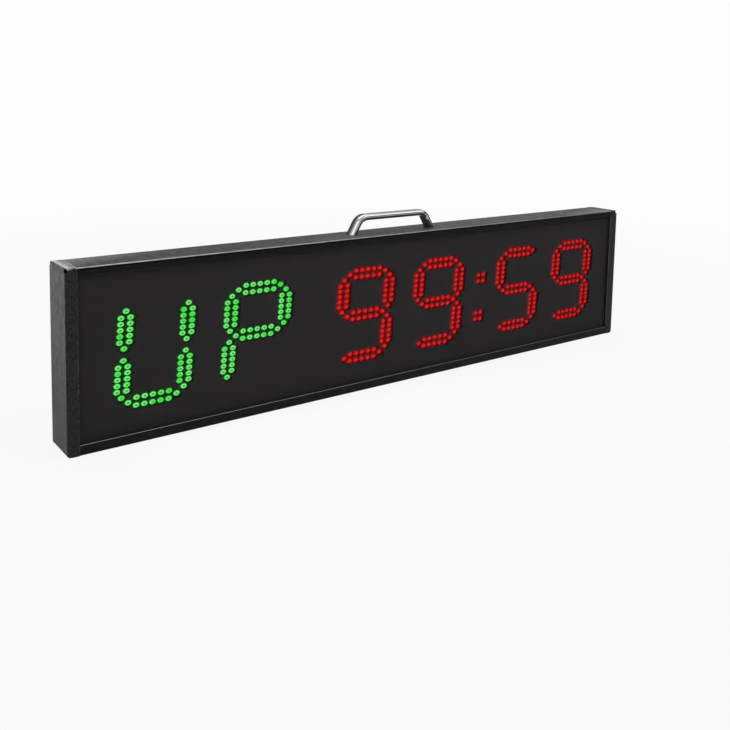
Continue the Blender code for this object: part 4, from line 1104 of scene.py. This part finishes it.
# %% [markdown]
# ## Inner parts
# The boards, cables and components sit behind the smoked front and the rear panel. They keep their
# CAD shapes and take a finish each: solder mask, moulded plastic, plated steel or cable insulation.

# %% Paint what keeps its shape
def plain_colour(name, base, speckle, roughness=0.45, gloss=0.5):
    return coated(name, base, speckle, speckle, roughness, 1800.0, 0.00003, gloss=gloss)


finishes = {
    "board_mask": plain_colour("board_mask", (0.004, 0.005, 0.004), (0.006, 0.007, 0.006), 0.6, 0.02),
    "green_board": plain_colour("green_board", (0.02, 0.12, 0.06), (0.03, 0.15, 0.08)),
    "grey_ribbon": plain_colour("grey_ribbon", (0.33, 0.34, 0.36), (0.4, 0.41, 0.43)),
    "red_lead": plain_colour("red_lead", (0.45, 0.02, 0.02), (0.52, 0.03, 0.03)),
    "black_lead": plain_colour("black_lead", grey(0.015), grey(0.03)),
    "black_plastic": moulded_black, "bright_steel": bright_steel, "zinc_plate": zinc_plate,
    "dark_screws": blackened_steel,
}
for part in frame["record"]["subparts"]:
    if part["material_slot"] in finishes:
        paint(finishes[part["material_slot"]], part["node"])
print("painted by slot:", sorted(finishes))

# %% [markdown]
# ## The studio
# The photograph has a white ground and soft light. A wide soft panel stands to the right in front,
# where the crowned handle and the front bend of the case mirror it as a white band. A key light on
# the left and one overhead light the end and the top more than the front, and a narrow spot makes
# the end brighter towards its top. Four cards that only show in reflections draw the dark lines of
# the polished handle: two behind it, and a low black one each in front and on the right.
# The floor and the world are white to the camera and in reflections, so the background stays white
# without more light.

# %% World and floor
BACKGROUND = 0.98
WORLD_LIGHT = 0.28
world = bpy.data.worlds.new("studio_world")
world.use_nodes = True
bpy.context.scene.world = world
tree = world.node_tree
tree.nodes.clear()


def seen_directly(tree):
    """One for camera, glossy and transmission rays, and zero for the light itself."""
    path = add_node(tree, "ShaderNodeLightPath").outputs
    camera_or_gloss = add_math(tree, "MAXIMUM", path["Is Camera Ray"], path["Is Glossy Ray"])
    return add_math(tree, "MAXIMUM", camera_or_gloss, path["Is Transmission Ray"])


strength = remap(tree, seen_directly(tree), 0.0, 1.0, WORLD_LIGHT, BACKGROUND)
sky = add_node(tree, "ShaderNodeBackground", Color=grey(1.0), Strength=strength)
add_node(tree, "ShaderNodeOutputWorld", i0=sky.outputs[0])


def studio_sheet(name, width, height, matrix):
    """A flat sheet for the floor or a card, and the empty node tree of its material."""
    bm = bmesh.new()
    bmesh.ops.create_grid(bm, x_segments=1, y_segments=1, size=0.5)
    bmesh.ops.scale(bm, vec=(width, height, 1.0), verts=bm.verts[:])
    bmesh.ops.transform(bm, matrix=matrix, verts=bm.verts[:])
    material = bpy.data.materials.new(name + "_tone")
    material.use_nodes = True
    material.node_tree.nodes.clear()
    sheet = add_object(name, mesh_of(name, bm))
    sheet.data.materials.append(material)
    return sheet, material.node_tree


floor, tree = studio_sheet("studio_floor", 60.0, 60.0, Matrix.Identity(4))
floor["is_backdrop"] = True
distance = add_node(tree, "ShaderNodeVectorMath", {"operation": "LENGTH"}, i0=object_place(tree))
dull = add_node(tree, "ShaderNodeBsdfDiffuse", Color=grey(0.85))
glow = add_node(tree, "ShaderNodeEmission", Color=grey(1.0), Strength=BACKGROUND)
share = times(tree, seen_directly(tree), remap(tree, distance.outputs["Value"], 0.7, 1.8, 0.9, 1.0))
blended = add_node(tree, "ShaderNodeMixShader", i0=share, i1=dull.outputs[0], i2=glow.outputs[0])
add_node(tree, "ShaderNodeOutputMaterial", i0=blended.outputs[0])
bpy.context.scene.view_settings.view_transform = "Standard"
print("studio: white world and floor")


# %% Lamps of the studio
def hang_lamp(name, data, place, target):
    """Puts a lamp at a place and points it at a target."""
    lamp = add_object(name, data)
    way = (Vector(target) - Vector(place)).normalized()
    lamp.matrix_world = (Matrix.Translation(place)
                         @ way.to_track_quat("-Z", "Y").to_matrix().to_4x4())
    print("lamp:", name)


def soft_light(name, place, target, width, height, radiance):
    """A soft panel of a given brightness, where 1 is white."""
    data = bpy.data.lights.new(name, "AREA")
    data.shape = "RECTANGLE"
    data.size = width
    data.size_y = height
    data.energy = radiance * math.pi * width * height
    hang_lamp(name, data, place, target)


soft_light("panel_right", (1.7, -1.45, 1.7), (0.0, 0.0, 0.15), 2.8, 2.6, 1.7)
soft_light("key_left", (-2.2, -0.35, 1.7), (-0.3, 0.0, 0.1), 2.4, 1.9, 1.5)
soft_light("top_soft", (0.3, 0.9, 2.3), (0.1, 0.0, 0.1), 2.4, 1.2, 1.9)

spot_data = bpy.data.lights.new("end_spot", "SPOT")
spot_data.energy = 55.0
spot_data.spot_size = math.radians(17.0)
spot_data.spot_blend = 1.0
spot_data.shadow_soft_size = 0.08
hang_lamp("end_spot", spot_data, (-1.5, 0.05, 0.9), (-0.44, 0.0, 0.24))


# %% Cards for the reflections
def reflector(name, place, width, height, turn, low_tone, high_tone):
    """An upright card that only shows in reflections. Its tone changes evenly from its foot to its
    top."""
    matrix = (Matrix.Translation(place) @ Matrix.Rotation(math.radians(turn), 4, "Z")
              @ Matrix.Rotation(math.radians(90.0), 4, "X"))
    card, tree = studio_sheet(name, width, height, matrix)
    card.visible_camera = card.visible_diffuse = card.visible_shadow = False
    card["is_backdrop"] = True
    above_floor = add_node(tree, "ShaderNodeSeparateXYZ", i0=object_place(tree)).outputs["Z"]
    foot, top = place[2] - height / 2, place[2] + height / 2
    glow = add_node(tree, "ShaderNodeEmission",
                    Strength=remap(tree, above_floor, foot, top, low_tone, high_tone))
    add_node(tree, "ShaderNodeOutputMaterial", i0=glow.outputs[0])
    print("card:", name)


reflector("back_card", (-0.15, 1.6, 0.8), 2.2, 1.6, 0.0, 0.0, 0.28)
reflector("grey_card", (1.65, 1.6, 1.25), 1.3, 1.5, 0.0, 0.5, 0.55)
reflector("front_card", (1.05, -1.4, 0.45), 1.5, 0.9, 36.0, 0.01, 0.01)
reflector("side_card", (1.8, -0.1, 0.6), 1.8, 1.2, 90.0, 0.01, 0.01)

# %% Measure and finish
low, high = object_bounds()
print("visual box in millimetres:", [round(side / MM, 1) for side in high - low])
